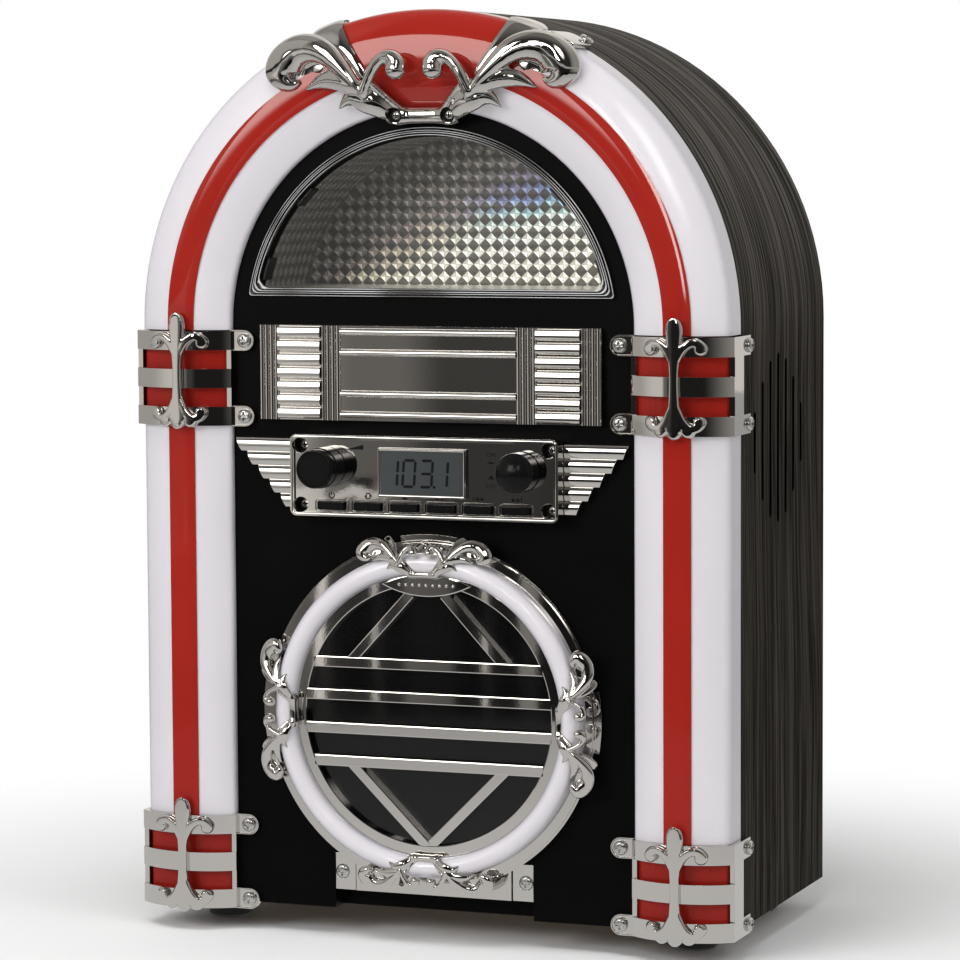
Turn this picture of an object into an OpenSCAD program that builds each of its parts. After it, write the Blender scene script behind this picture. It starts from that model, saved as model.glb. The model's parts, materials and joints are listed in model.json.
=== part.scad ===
// Mini CD jukebox: an arched wooden cabinet with lit tubes, chrome trim and a CD door that tilts forward.
// The origin is on the floor in the middle of the footprint, +Z is up and the front looks along -Y.
// Inside at_face() the Y axis starts at the front panel's face and runs backwards.

/* [Cabinet] */
// Width of the wooden cabinet
cabinet_w = 278; // [270:1:320]
// Depth of the wooden shell
cabinet_d = 130; // [122:1:170]
// Thickness of the wooden shell
wood_t = 9; // [7:0.5:12]
// Thickness of the base board
base_t = 9; // [7:0.5:12]
// Thickness of the back board
back_t = 4; // [3:0.5:6]
// Width of the rebate that holds the back board
rebate_w = 5.5; // [5.2:0.1:6]
// Distance of the back board's face in front of the shell's back edge
back_inset = 2; // [1:0.5:3]
// Diameter of a foot
foot_d = 20; // [14:1:26]
// Height of a foot
foot_h = 12.5; // [8:0.5:18]
// Distance of a foot's centre from the cabinet's side
foot_inset = 26; // [20:1:40]
// Distance of a foot's centre from the shell's front or back edge
foot_edge = 16; // [14:1:30]

/* [Speaker vents] */
// Number of vent slots on each side
vent_count = 7; // [5:2:7]
// Distance between vent slots
vent_pitch = 11.9; // [9:0.1:12]
// Width of a vent slot
vent_w = 3.6; // [2:0.2:5]
// Length of the middle vent slot
vent_l = 76; // [60:1:80]
// Step of the angle whose cosine shortens each slot towards the ends
vent_taper = 23; // [16:1:26]
// Distance of the middle slot behind the shell's front edge
vent_back = 56.5; // [54:0.5:65]
// Distance of the slots' middle below the arch's centre
vent_drop = 51; // [45:1:60]

/* [Front panel] */
// Thickness of the front panel's face
panel_t = 3; // [2.5:0.5:4]
// Distance from the panel's face back to the wooden shell
panel_depth = 13; // [12.5:0.5:16]
// Thickness of the skirt behind the panel's edge
skirt_t = 2.5; // [2:0.5:4]

/* [Light tubes] */
// Width of a tube's profile as a share of the cabinet's width
tube_share = 0.15683; // [0.144:0.00001:0.165]
// Height of a tube's crown above the panel
tube_apex = 9; // [7:0.5:11]
// Radius of a tube's outer corner
tube_corner_r = 5; // [4:0.5:6]
// Wall of a tube
tube_wall = 2; // [1.5:0.1:2.5]
// Width of the coloured stripe
stripe_w = 12.5; // [8:0.5:16]
// Height of the stripe above the tube
stripe_proud = 0.6; // [0.3:0.1:1]
// Depth of the stripe's groove
stripe_groove = 1; // [0.5:0.1:1.2]
// Width of the crest as a share of the cabinet's width
crest_share = 0.53777; // [0.53:0.00001:0.55]
// Half the angle that the crown lens covers
crown_angle = 17.5; // [14:0.5:19]
// Width of a light strip's board
led_board_w = 12; // [8:1:18]
// Number of lamps on a light strip
led_count = 6; // [3:1:10]

/* [Brackets] */
// Height of a bracket's band, and of the gap between two bands
band_h = 8.5; // [7:0.5:9]
// Thickness of a bracket's sheet
band_t = 2.2; // [1.5:0.1:2.6]
// Height of a band's crown above the panel
band_apex = 11.8; // [11.4:0.1:14]
// Radius of a band's front
band_arc_r = 38.5; // [36:0.1:46]
// Distance of a band's crown outwards from the tube's middle
band_shift = 0.5; // [0:0.1:2]
// Reach of a bracket past the tube's inner edge
band_reach_in = 0.6; // [0.4:0.1:0.8]
// Reach of a bracket past the cabinet's side
band_reach_out = 2.35; // [2:0.05:3]
// Depth of a bracket's side flange behind the panel's face
flange_d = 10; // [8:0.5:12]
// Distance of an upper bracket's top below the arch's centre
bracket_drop = 3; // [1:0.5:6]
// Reach of a lower bracket below the panel's bottom edge
bracket_sink = 2.5; // [1:0.5:4]
// Radius of a bracket's ear
ear_r = 4.7; // [4:0.1:5.5]
// Distance of an inner ear's screw from the tube's inner edge
ear_in = 6.4; // [5.4:0.1:8]
// Distance of an outer ear's screw behind the panel's face
ear_back = 17; // [16:0.5:20]
// Inset of the coloured sleeve inside a bracket from the tube's outline
sleeve_inset = 2.2; // [1.8:0.1:3]
// Height of the fleur on a bracket's front
fleur_h = 3.5; // [2.5:0.1:5]

/* [Window] */
// Width of the black border between the tube and the window
win_border = 6.9; // [5:0.1:10]
// Height of the window's straight edge above the arch's centre
win_chord = 12.9; // [8:0.1:20]
// Width of the window's rim
win_rim_w = 3.4; // [2.5:0.1:5]
// Height of the window's rim above the panel
win_rim_h = 3; // [2:0.1:4]
// Thickness of the window's pane
win_pane_t = 1.5; // [1:0.1:2]
// Depth of the tray behind the panel's face
tray_d = 54; // [40:1:70]
// Wall of the tray
tray_t = 2; // [1.5:0.1:3]
// Thickness of the prismatic lining
foil_t = 0.6; // [0.4:0.1:1]
// Distance of the lining's front edge behind the panel's face
foil_start = 11; // [6:1:16]

/* [Title plate] */
// Height of the title plate
title_h = 42.2; // [38:0.1:48]
// Thickness of the title plate
title_t = 3; // [2:0.1:4]
// Distance of the title plate's end from the tube
title_inset = 14.4; // [12:0.1:20]
// Width of a fluted strip
flute_w = 9.6; // [8:0.1:12]
// Number of flutes on a strip
flute_count = 4; // [3:1:5]
// Width of a ribbed block
rib_block_w = 20.2; // [16:0.1:24]
// Number of ribs on a block
rib_count = 7; // [5:1:8]
// Thickness of a long rib across the plate's middle
long_rib_h = 3; // [2:0.1:4]
// Distances of the long ribs from the plate's edge
long_rib_z = [2.7, 11.9];

/* [Control housing] */
// Width of the housing as a share of the space between the tubes
housing_share = 0.6656; // [0.65:0.001:0.69]
// Height of the housing
housing_h = 36.3; // [35:0.1:42]
// Height of the housing's rim above the panel
housing_f = 10.6; // [10:0.1:12]
// Gap between the housing and the title plate
title_gap = 6; // [4:0.5:9]
// Corner radius of the housing
housing_r = 3; // [2:0.5:4]
// Wall of the housing
housing_wall = 2; // [1.5:0.1:2.4]
// Depth of the face inside the rim
housing_step = 1; // [0.5:0.1:1.5]
// Distance of a knob's centre from the housing's end
knob_inset = 17.5; // [16:0.5:19]
// Height of the knobs' centres above the housing's bottom
knob_up = 22; // [20:0.5:24]
// Diameter of the volume knob
knob_d = 18; // [14:0.5:19]
// Length of the volume knob
knob_l = 15; // [12:0.5:18]
// Diameter of the light button
light_d = 17.5; // [14:0.5:18]
// Length of the light button in front of the face
light_l = 13; // [10:0.5:14]
// Travel of the light button
light_travel = 3; // [2:0.5:3]
// Diameter of the controls' shafts
shaft_d = 6; // [4:0.5:6]
// Half width of the display's bezel
bezel_x = 20.8; // [18:0.1:22]
// Height of the display's bezel
bezel_h = 21.8; // [18:0.1:22]
// Height of the bezel's bottom above the housing's bottom
bezel_up = 9.4; // [9:0.1:10.5]
// Width of the bezel's frame
bezel_w = 2.4; // [1.5:0.1:3]
// Number of push buttons
button_count = 6;
// Distance from the housing's end to the row of push buttons
button_margin = 11; // [10:0.5:12]
// Gap between push buttons
button_gap = 4.3; // [3.6:0.1:7]
// Height of a push button
button_h = 4; // [3:0.1:4.4]
// Height of the push buttons' centres above the housing's bottom
button_up = 4.8; // [4.7:0.1:5.2]
// Travel of a push button
button_travel = 0.8; // [0.4:0.1:1]
// Height of a push button above the face
button_proud = 1.8; // [1.2:0.1:2.5]

/* [Wings] */
// Number of ribs on a wing
wing_ribs = 5; // [4:1:6]
// Height of a wing's rib
wing_rib_h = 6.2; // [5:0.1:6.5]
// Distance of a wing's top below the housing's top
wing_drop = 2.4; // [1:0.1:4]
// Distance of the longest rib's tip from the tube
wing_gap = 2.1; // [1:0.1:5]
// Step of the tips from one rib to the next as a share of a wing's length
wing_step = 0.182; // [0.1:0.001:0.2]
// Slant of a tip over its rib
wing_slant = 2.6; // [1:0.1:4]
// Height of a wing's ribs above the panel
wing_f = 4; // [3:0.1:5]

/* [CD door] */
// Radius of the door's frame
door_r = 78; // [76:0.5:82]
// Height of the frame's edge above the panel
door_edge_f = 4.5; // [3.5:0.1:6]
// Thickness of the door's floor
door_floor_t = 2.7; // [2:0.1:3.5]
// Distance of the light ring from the frame's edge
ring_inset = 5.5; // [4:0.5:8]
// Width of the light ring
ring_w = 9.2; // [7.5:0.1:11]
// Height of the light ring's crown above the panel
ring_apex = 12; // [10:0.5:14]
// Width of the grille's ring
grille_ring_w = 5; // [3:0.1:6]
// Height of the grille's front above the panel
grille_f = 6.3; // [5:0.1:8]
// Height of a grille bar
grille_bar_h = 4.9; // [3:0.1:6]
// Distances of the grille bars from the door's centre as shares of the grille's radius
grille_bar_z = [0.1185, 0.3523];
// Distance of a diagonal bar's foot from the middle as a share of the grille's radius
grille_foot = 0.592; // [0.5:0.002:0.65]
// Width of a diagonal bar
grille_diag_w = 4.5; // [3:0.1:6]
// Half width of the push tab
tab_x = 21.3; // [16:0.1:26]
// Height of the push tab
tab_h = 10.2; // [8:0.1:12]
// Thickness of the door's window
door_pane_t = 2; // [1.5:0.1:2.4]
// Distance of the panel's opening from the frame's edge
open_inset = 8; // [6:0.5:10]
// Reach of the ornaments past the frame's edge
ornament_over = 2.5; // [1:0.5:7]
// Width of a door ornament
ornament_w = 65.8; // [54:0.2:72]
// Height of a door ornament's base above the panel
ornament_f = 7.5; // [6:0.1:9]
// Angle by which a door ornament leans back
ornament_tilt = 14; // [8:1:20]
// Half width of the lug behind an ornament
lug_x = 13.7; // [10:0.1:16]
// Gap between the upper ornament and the control housing
housing_gap = 7.4; // [5:0.1:10]
// Gap between the door and the panel
door_gap = 0.3; // [0.2:0.05:0.6]

/* [Hinge] */
// Height of the hinge plate's bottom above the panel's bottom edge
hinge_rise = 8.5; // [6:0.5:14]
// Height of the hinge plate
hinge_h = 16.5; // [15:0.5:20]
// Height of the hinge's axis above the plate's bottom
hinge_axis_up = 6; // [5:0.5:7]
// Distance of the hinge's axis behind the panel's face
hinge_axis_y = 4; // [3.8:0.1:5]
// Reach of the door's frame below the hinge's axis
door_overlap = 2.3; // [0:0.1:4]
// Half width of the hinge plate
hinge_x = 47.4; // [44:0.1:54]
// Width of a hinge block
hinge_block_w = 9.7; // [9:0.1:12]
// Depth of the pocket behind the hinge
pocket_d = 10; // [9.5:0.5:12]
// Diameter of the hinge pin
hinge_pin_d = 3; // [2:0.1:4]
// Length of the hinge pin inside a block
hinge_pin_in = 2.8; // [2:0.1:3]

/* [CD deck] */
// Depth of the disc well behind the panel's face
well_d = 28; // [26:1:40]
// Wall of the disc well
well_t = 2; // [1.5:0.1:3]
// Radius of the turntable
turntable_r = 16; // [13:0.5:18]
// Thickness of the turntable
turntable_t = 2; // [1.5:0.1:3]
// Radius of the hub that holds a disc
hub_r = 7.4; // [7.2:0.05:7.45]
// Height of the hub above the turntable
hub_h = 9; // [6:0.5:9]
// Gap between the turntable and the well's floor
turntable_gap = 4; // [3:0.5:5]
// Diameter of the spindle
spindle_d = 2; // [1.5:0.1:3]
// Radius of the spindle motor
motor_r = 11; // [9:0.5:12]
// Depth of the room for the motor and the pickup behind the well
deck_room = 10; // [9:0.5:14]
// Thickness of the deck's chassis
chassis_t = 2; // [1.5:0.1:3]
// Width of the laser pickup along its rails
pickup_w = 24; // [20:1:28]
// Half the distance between the rails
rail_z = 14; // [12:0.5:16]
// Diameter of a rail
rail_d = 3; // [2:0.1:4]
// Travel of the laser pickup
pickup_travel = 34; // [30:1:36]

/* [Electrics] */
// Width of a speaker's frame
speaker_w = 84; // [78:1:90]
// Depth of a speaker
speaker_d = 34; // [28:1:38]
// Size of the main board
main_board_size = [110, 70, 1.6];
// Height of the main board above the base board
board_up = 6; // [4:0.5:10]
// Size of the transformer
transformer_size = [48, 40, 36];
// Size of the power inlet's face
inlet_size = [28, 1, 20];
// Distance of the inlet's centre from the cabinet's middle
inlet_x = 78; // [60:1:90]
// Height of the inlet's centre above the base board
inlet_up = 24; // [20:1:40]

/* [Screws] */
// Diameter of a screw's shank
screw_d = 2.6; // [2:0.1:3]
// Diameter of a screw's head
screw_head_d = 6.4; // [5:0.1:7]
// Height of a screw's head
screw_head_h = 2; // [1.4:0.1:2.6]
// Length of a screw's shank
screw_l = 7; // [6:0.5:8]

/* [Fits] */
// Gap between pieces that are fitted together
fit_gap = 0.15; // [0.1:0.05:0.3]
// Radial gap of a shaft or pin in its bore
run_gap = 0.05; // [0.02:0.01:0.1]
// Gap round a sliding button
slide_gap = 0.25; // [0.2:0.05:0.4]

/* [Hidden] */
$fn = 64;
over = 1;
half_w = cabinet_w / 2;
panel_z0 = foot_h;
hinge_z0 = panel_z0 + hinge_rise;
hinge_z1 = hinge_z0 + hinge_h;
axis_z = hinge_z0 + hinge_axis_up;
door_z = axis_z + door_r - door_overlap;
ornament_reach = door_r + ornament_over;
housing_z0 = door_z + ornament_reach + housing_gap;
title_z0 = housing_z0 + housing_h + title_gap;
arch_z = title_z0 + title_h;
shell_y0 = panel_depth;
shell_y1 = shell_y0 + cabinet_d;
back_y1 = shell_y1 - back_inset;
back_y0 = back_y1 - back_t;
base_z1 = panel_z0 + base_t;
face_y0 = -housing_f + housing_step;
knob_front = -face_y0 + knob_l;
rear_y = max(shell_y1, back_y1 + screw_head_h);
origin_y = (rear_y - knob_front) / 2;

tube_out = half_w;
tube_w = cabinet_w * tube_share;
tube_in = tube_out - tube_w;
tube_mid = tube_in + tube_w / 2;
corner_dx = tube_w / 2 - tube_corner_r;
tube_arc_r = (corner_dx^2 + tube_apex^2 - tube_corner_r^2) / (2 * (tube_apex - tube_corner_r));
panel_half = half_w - tube_wall - fit_gap;
bracket_h = 5 * band_h;
upper_z0 = arch_z - bracket_drop - bracket_h;
lower_z0 = panel_z0 - bracket_sink;
win_r = tube_in - win_border;
win_open_r = win_r - win_rim_w;
title_half = tube_in - title_inset;
housing_w = 2 * tube_in * housing_share;
housing_half = housing_w / 2;
knob_x = housing_half - knob_inset;
button_pitch = (housing_w - 2 * button_margin) / button_count;
button_w = button_pitch - button_gap;
face_back_y = face_y0 + housing_wall;
knob_z = housing_z0 + knob_up;
button_z = housing_z0 + button_up;
board_y0 = -3;
board_t = 1.6;
bezel_z0 = housing_z0 + bezel_up;
housing_screw = [housing_half - 4.8, 4.9];
leaf_x = hinge_x - hinge_block_w - 2 * slide_gap;
leaf_t = 2.5;
hinge_screw_x = hinge_x - 3.4;
hinge_screw_z = hinge_z0 + hinge_h / 2;
ring_out = door_r - ring_inset;
ring_in = ring_out - ring_w;
door_open_r = door_r - open_inset;
well_r = door_open_r + 1;
pocket_x = hinge_x + fit_gap;
latch_r = door_r - 2.5;
tongue_x = 4;
tongue_h = 3;
tongue_d = 12;
disc_y = well_d - turntable_gap - turntable_t;
deck_y0 = well_d + well_t;
chassis_y0 = deck_y0 + deck_room;
rail_y = deck_y0 + deck_room / 2;
rail_wall_t = 2;
rail_x0 = motor_r + 0.5;
pickup_x0 = rail_x0 + rail_wall_t + 0.6;
rail_x1 = pickup_x0 + pickup_w + pickup_travel + 0.6;
lens_x = pickup_x0 + pickup_w / 2;
lens_r = 3.5;
speaker_y = shell_y0 + vent_back;
speaker_z = arch_z - vent_drop;
speaker_x = half_w - wood_t;
crest_tab_angle = 27.2;
ornament_up = 39;
fleur_drawn = [42.5, 3.5];
fleur_scale = bracket_h / fleur_drawn[0];

// Control points of the ornament's scrolls: across, up, forward, half width, half thickness
horn_path = [
    [26, 8, 15, 2, 2.4], [36.5, 19.6, 14, 3.6, 3.2], [43.6, 25.8, 12.5, 4.8, 4],
    [51, 28.2, 11, 4.8, 4.2], [59, 27, 10, 5.6, 4.4], [65, 22.6, 9, 5.8, 4.4]
];
scroll_half_w = 1.15 * max([for (p = horn_path) p[0]]);
crest_scale = crest_share * cabinet_w / (2 * scroll_half_w);
crest_screw = crest_scale * [12.5, -2.8] + [0, arch_z + tube_in];
crest_seat_y = -6 * crest_scale;
ornament_scale = ornament_w / (2 * scroll_half_w);
bud_path = [
    [25, 7, 15, 2.6, 2.8], [20.8, 15, 16, 2.6, 2.8], [16.6, 21.4, 16.8, 2.6, 2.6],
    [11.2, 24, 17, 2.7, 2.7], [7.8, 21.6, 17, 2.8, 2.6]
];
long_leaf_path = [
    [25, 8, 14.5, 2, 2.4], [35, 14, 13.5, 3.8, 3], [44, 14, 12, 3, 2.4], [53, 9.8, 10.5, 0.5, 0.8]
];
low_leaf_path = [
    [13, -1.5, 8, 3, 2.6], [22, 4, 13, 4.4, 3.4], [30, 7, 13, 3.8, 3], [36.6, 1.6, 11, 0.6, 0.9]
];
clip_outline = [[26.5, 18], [38.5, 37], [41, 48], [57.5, 48], [53.5, 31], [41, 22.4]];
upper_curl_path = [
    [1.5, -7.5, 1.6, 2.6, 2.6], [5.8, -3.6, 1.8, 2.7, 2.6], [10.4, -2.2, 1.8, 2.7, 2.6],
    [12.6, -4.6, 1.8, 2.4, 2.4], [11, -6.6, 1.6, 1.4, 1.8]
];
lower_curl_path = [
    [1, -34, 1.6, 2.6, 2.6], [4.8, -39, 1.8, 2.7, 2.6], [8.8, -39.4, 1.8, 2.6, 2.6],
    [11.2, -37.2, 1.8, 2.3, 2.4], [9.8, -35.6, 1.6, 1.3, 1.8]
];
stem_path = [
    [0, 7.6, 1, 1.6, 1.2], [0, 5.8, 1.6, 3.2, 2.4], [0, 2, 1.8, 4.2, 2.8], [0, -3, 1.8, 3.9, 2.8],
    [0, -13.5, 1.4, 2.7, 2.6], [0, -25, 1.4, 2.7, 2.6], [0, -36, 1.6, 3.6, 2.8], [0, -42, 1.2, 2.8, 2]
];

// Helpers that place shapes

// From the panel's face into the part's frame
module at_face() {
    translate([0, -origin_y, 0])
        children();
}

// Flat outline in X and Z, from y0 back to y1
module slab(y0, y1) {
    translate([0, y1, 0])
        rotate([90, 0, 0])
            linear_extrude(y1 - y0)
                children();
}

// Round bar along Y
module rod(x, z, y0, y1, r) {
    translate([x, y0, z])
        rotate([-90, 0, 0])
            cylinder(h = y1 - y0, r = r);
}

// Round bar along X
module bar(x0, x1, y, z, r) {
    translate([x0, y, z])
        rotate([0, 90, 0])
            cylinder(h = x1 - x0, r = r);
}

module block(low, high) {
    translate(low)
        cube(high - low);
}

module both_sides() {
    children();
    mirror([1, 0, 0])
        children();
}

// Raises a profile of X and height above the panel along a column
module column(z0, z1) {
    translate([0, 0, z0])
        linear_extrude(z1 - z0)
            mirror([0, 1])
                children();
}

// Turns the same profile round the arch, with angles from the right
module arch_sweep(a0, a1) {
    translate([0, 0, arch_z])
        rotate([90, 0, 0])
            rotate_extrude(angle = a1 - a0, start = a0)
                children();
}

// Turns a profile of radius and height above the panel round the door's centre
module door_turn() {
    translate([0, 0, door_z])
        rotate([90, 0, 0])
            rotate_extrude()
                children();
}

// Outlines

// The cabinet's front outline: straight sides under a half circle
module arch_outline(half, z0) {
    intersection() {
        translate([0, arch_z])
            circle(half);
        translate([-half, arch_z])
            square([2 * half, half]);
    }
    translate([-half, z0])
        square([2 * half, arch_z - z0]);
}

module d_outline(r, chord) {
    intersection() {
        translate([0, arch_z])
            circle(r);
        translate([-r, arch_z + chord])
            square([2 * r, r]);
    }
}

module rounded_rect(w, h, r) {
    translate([-w / 2 + r, 0])
        square([w - 2 * r, h]);
    translate([-w / 2, r])
        square([w, h - 2 * r]);
    for (x = [-w / 2 + r, w / 2 - r], z = [r, h - r])
        translate([x, z])
            circle(r);
}

module slot_outline(w, l) {
    polygon([
        for (a = [0:20:180]) [w / 2 * cos(a), (l - w) / 2 + w / 2 * sin(a)],
        for (a = [180:20:360]) [w / 2 * cos(a), -(l - w) / 2 + w / 2 * sin(a)]
    ]);
}

// Where the tube's shallow front arc runs into its corner arc
function tangent_x(g) = tube_mid + (tube_arc_r + g) * corner_dx / (tube_arc_r - tube_corner_r);

// Section of a light tube in front of the panel, grown outwards by g
module tube_outline(g) {
    intersection() {
        translate([tube_mid, tube_apex - tube_arc_r])
            circle(tube_arc_r + g);
        translate([tube_in - g, 0])
            square([tangent_x(g) - tube_in + g, tube_apex + g]);
    }
    intersection() {
        translate([tube_out - tube_corner_r, 0])
            circle(tube_corner_r + g);
        translate([tangent_x(g) - over, 0])
            square([tube_corner_r + g, tube_corner_r + g]);
    }
}

// Flank of a light tube that runs back to the wood
module flank_outline() {
    translate([tube_out - tube_wall, -panel_depth])
        square([tube_wall, panel_depth]);
}

module stripe_band(r0, r1, w) {
    intersection() {
        difference() {
            translate([tube_mid, tube_apex - tube_arc_r])
                circle(r1);
            translate([tube_mid, tube_apex - tube_arc_r])
                circle(r0);
        }
        translate([tube_mid - w / 2, 0])
            square([w, tube_apex + stripe_proud + over]);
    }
}

module tube_shell() {
    difference() {
        tube_outline(0);
        tube_outline(-tube_wall);
        stripe_band(tube_arc_r - stripe_groove, tube_arc_r + over, stripe_w + 2 * fit_gap);
    }
    flank_outline();
}

// Room that the crest leaves for the tube and its stripe
module tube_room() {
    tube_outline(2 * fit_gap);
    stripe_band(tube_arc_r, tube_arc_r + stripe_proud + 2 * fit_gap, stripe_w + 4 * fit_gap);
}

module stripe_outline() {
    stripe_band(tube_arc_r - stripe_groove + fit_gap, tube_arc_r + stripe_proud, stripe_w);
}

module crown_shell() {
    difference() {
        tube_outline(0);
        tube_outline(-tube_wall);
    }
    flank_outline();
}

// Front of a bracket's band, drawn in from its outside by g
module band_front(g) {
    intersection() {
        translate([tube_mid + band_shift, band_apex - band_arc_r])
            circle(band_arc_r - g);
        translate([tube_in - band_reach_in + g, 0])
            square([tube_w + band_reach_in + band_reach_out - 2 * g, band_apex]);
    }
}

// Swept ornaments

function spline_point(a, b, c, d, t) =
    0.5 * (2 * b + (c - a) * t + (2 * a - 5 * b + 4 * c - d) * t^2 + (3 * b - a - 3 * c + d) * t^3);

function spline(c, steps) = [
    for (i = [0:len(c) - 2], k = [0:steps - 1])
        spline_point(c[max(i - 1, 0)], c[i], c[i + 1], c[min(i + 2, len(c) - 1)], k / steps),
    c[len(c) - 1]
];

function direction(rows, i) =
    let (a = rows[max(i - 1, 0)], b = rows[min(i + 1, len(rows) - 1)], d = [b[0] - a[0], b[1] - a[1]])
    d / norm(d);

function ring_points(row, d, sides) = [
    for (k = [0:sides - 1])
        let (t = 360 * k / sides)
        [row[0] - d[1] * row[3] * cos(t), row[1] + d[0] * row[3] * cos(t), row[2] + row[4] * sin(t)]
];

// Oval bar swept along a smooth curve through the control points
module sweep(path, steps, sides) {
    rows = spline(path, steps);
    last = len(rows) - 1;
    polyhedron(
        points = [for (i = [0:last]) each ring_points(rows[i], direction(rows, i), sides)],
        faces = [
            [for (k = [0:sides - 1]) k],
            for (i = [0:last - 1], k = [0:sides - 1])
                let (n = (k + 1) % sides)
                each [
                    [i * sides + k, (i + 1) * sides + k, (i + 1) * sides + n],
                    [i * sides + k, (i + 1) * sides + n, i * sides + n]
                ],
            [for (k = [sides - 1:-1:0]) last * sides + k]
        ]
    );
}

// Rounded limb between two balls
module limb(a, b, r0, r1, sides) {
    hull() {
        translate(a)
            sphere(r0, $fn = sides);
        translate(b)
            sphere(r1, $fn = sides);
    }
}

// Right half of the scrolls of the crest and the door ornaments
module scrolls(steps, sides) {
    sweep(horn_path, steps, sides);
    limb([63.6, 24, 9.4], [67.4, 17.8, 8.6], 5.4, 7.4, sides);
    limb([66.6, 14.6, 8.6], [57.8, 11.4, 9.4], 5, 1.2, sides);
    sweep(bud_path, steps, sides);
    limb([8.2, 20.4, 17], [8.9, 16.8, 16.6], 4, 4.9, sides);
    sweep(long_leaf_path, steps, 6);
    sweep(low_leaf_path, steps, 6);
    limb([20, 10.5, 14.6], [8.5, -1, 6.5], 2.8, 2.6, 6);
    limb([23.6, 6.6, 14], [14.5, -2.8, 6.5], 4, 3.2, 6);
    hull()
        for (p = [[25.5, 11, 15], [26, 18, 12.5], [39.5, 39, 6.5], [52, 34, 6]])
            translate(p)
                sphere(1.2, $fn = 6);
}

// The lower bar that ties the two halves together
module tie_bar() {
    hull()
        for (x = [-14.4, 14.4], z = [-4.6, -1])
            translate([x, z, 1])
                cylinder(h = 7, r = 2, $fn = 12);
}

module fleur() {
    sweep(stem_path, 1, 8);
    for (side = [0, 1])
        mirror([side, 0, 0]) {
            sweep(upper_curl_path, 2, 6);
            sweep(lower_curl_path, 2, 6);
            limb([0, -40.5, 1], [2.4, -41.4, 1], 2, 1.6, 6);
            limb([11.8, -4, 1.6], [11, -5.6, 1.6], 2.8, 2.4, 6);
        }
}

// Cabinet

module vent_slots() {
    for (i = [0:vent_count - 1])
        let (k = i - (vent_count - 1) / 2)
        translate([half_w - wood_t - over, speaker_y + k * vent_pitch, speaker_z])
            rotate([90, 0, 90])
                linear_extrude(wood_t + 2 * over)
                    slot_outline(vent_w, vent_l * cos(vent_taper * k));
}

module cabinet_shell() {
    color("#3b3835") at_face()
        difference() {
            slab(shell_y0, shell_y1)
                difference() {
                    arch_outline(half_w, panel_z0);
                    arch_outline(half_w - wood_t, panel_z0 - over);
                }
            slab(back_y0, shell_y1 + over)
                arch_outline(half_w - wood_t + rebate_w, panel_z0 - over);
            both_sides() {
                vent_slots();
                outer_ear_bores(screw_d / 2 + run_gap);
                crest_tab_bore(screw_d / 2 + run_gap);
            }
            back_screw_bores(back_y0 - screw_l, shell_y1);
        }
}

module base_board() {
    color("#4a4036") at_face()
        block(
            [-half_w + wood_t, shell_y0, panel_z0],
            [half_w - wood_t, back_y0, base_z1]
        );
}

back_screw_r = half_w - wood_t + rebate_w - screw_head_d / 2 - slide_gap;
back_screw_places = [
    for (x = [-1, 1], z = [panel_z0 + 30, (panel_z0 + arch_z) / 2, arch_z]) [x * back_screw_r, z],
    for (a = [45, 135]) [back_screw_r * cos(a), arch_z + back_screw_r * sin(a)]
];

module back_screw_bores(y0, y1) {
    for (p = back_screw_places)
        rod(p[0], p[1], y0, y1, screw_d / 2 + run_gap);
}

module back_panel() {
    color("#2b2926") at_face()
        difference() {
            slab(back_y0, back_y1)
                arch_outline(half_w - wood_t + rebate_w - fit_gap, panel_z0);
            back_screw_bores(back_y0 - over, back_y1 + over);
            inlet_body(fit_gap);
        }
}

module rubber_feet() {
    color("#151515") at_face()
        for (x = [-half_w + foot_inset, half_w - foot_inset], y = [shell_y0 + foot_edge, back_y0 - foot_edge])
            translate([x, y, 0])
                rotate_extrude()
                    polygon([
                        [0, 0], [foot_d / 2 - 1, 0], [foot_d / 2, 1], [foot_d / 2, foot_h], [0, foot_h]
                    ]);
}

// Front panel

module front_panel() {
    color("#101010") at_face()
        difference() {
            union() {
                slab(0, panel_t)
                    arch_outline(panel_half, panel_z0);
                slab(panel_t, panel_depth)
                    difference() {
                        arch_outline(panel_half, panel_z0);
                        arch_outline(panel_half - skirt_t, panel_z0 + skirt_t);
                    }
                block(
                    [-pocket_x - skirt_t, panel_t, panel_z0],
                    [pocket_x + skirt_t, pocket_d + skirt_t, hinge_z1 + skirt_t]
                );
            }
            block([-pocket_x, -over, panel_z0 - over], [pocket_x, pocket_d, hinge_z1 + fit_gap]);
            rod(0, door_z, -over, panel_t + over, door_open_r);
            rod(0, door_z, panel_t, pocket_d + skirt_t + over, well_r + fit_gap);
            slab(-over, panel_t + over)
                d_outline(win_open_r, win_chord + win_rim_w);
            block(
                [-housing_half + 8.5, -over, housing_z0 + housing_wall],
                [housing_half - 8.5, panel_t + over, housing_z0 + housing_h - housing_wall]
            );
            block(
                [-tongue_x - 0.8, -over, door_z + latch_r - tongue_h / 2 - 0.9],
                [tongue_x + 0.8, panel_t + over, door_z + latch_r + tongue_h / 2 + 0.9]
            );
            both_sides() {
                inner_ear_bores(-over, screw_l, screw_d / 2 + run_gap);
                crest_bore(screw_l, screw_d / 2 + run_gap);
                housing_bores(-over, screw_l, screw_d / 2 + run_gap);
                rod(
                    hinge_screw_x, hinge_screw_z, pocket_d - over, pocket_d + skirt_t + over,
                    screw_d / 2 + run_gap
                );
            }
        }
}

// Light tubes

module right_arch_tube() {
    color("#f1f0f4") at_face() {
        arch_sweep(0, 90 - crown_angle - 0.1)
            tube_shell();
        column(arch_z - bracket_drop, arch_z)
            tube_shell();
    }
}

module left_arch_tube() {
    mirror([1, 0, 0])
        right_arch_tube();
}

module right_column_tube() {
    color("#f1f0f4") at_face()
        column(lower_z0 + bracket_h, upper_z0)
            tube_shell();
}

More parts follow.
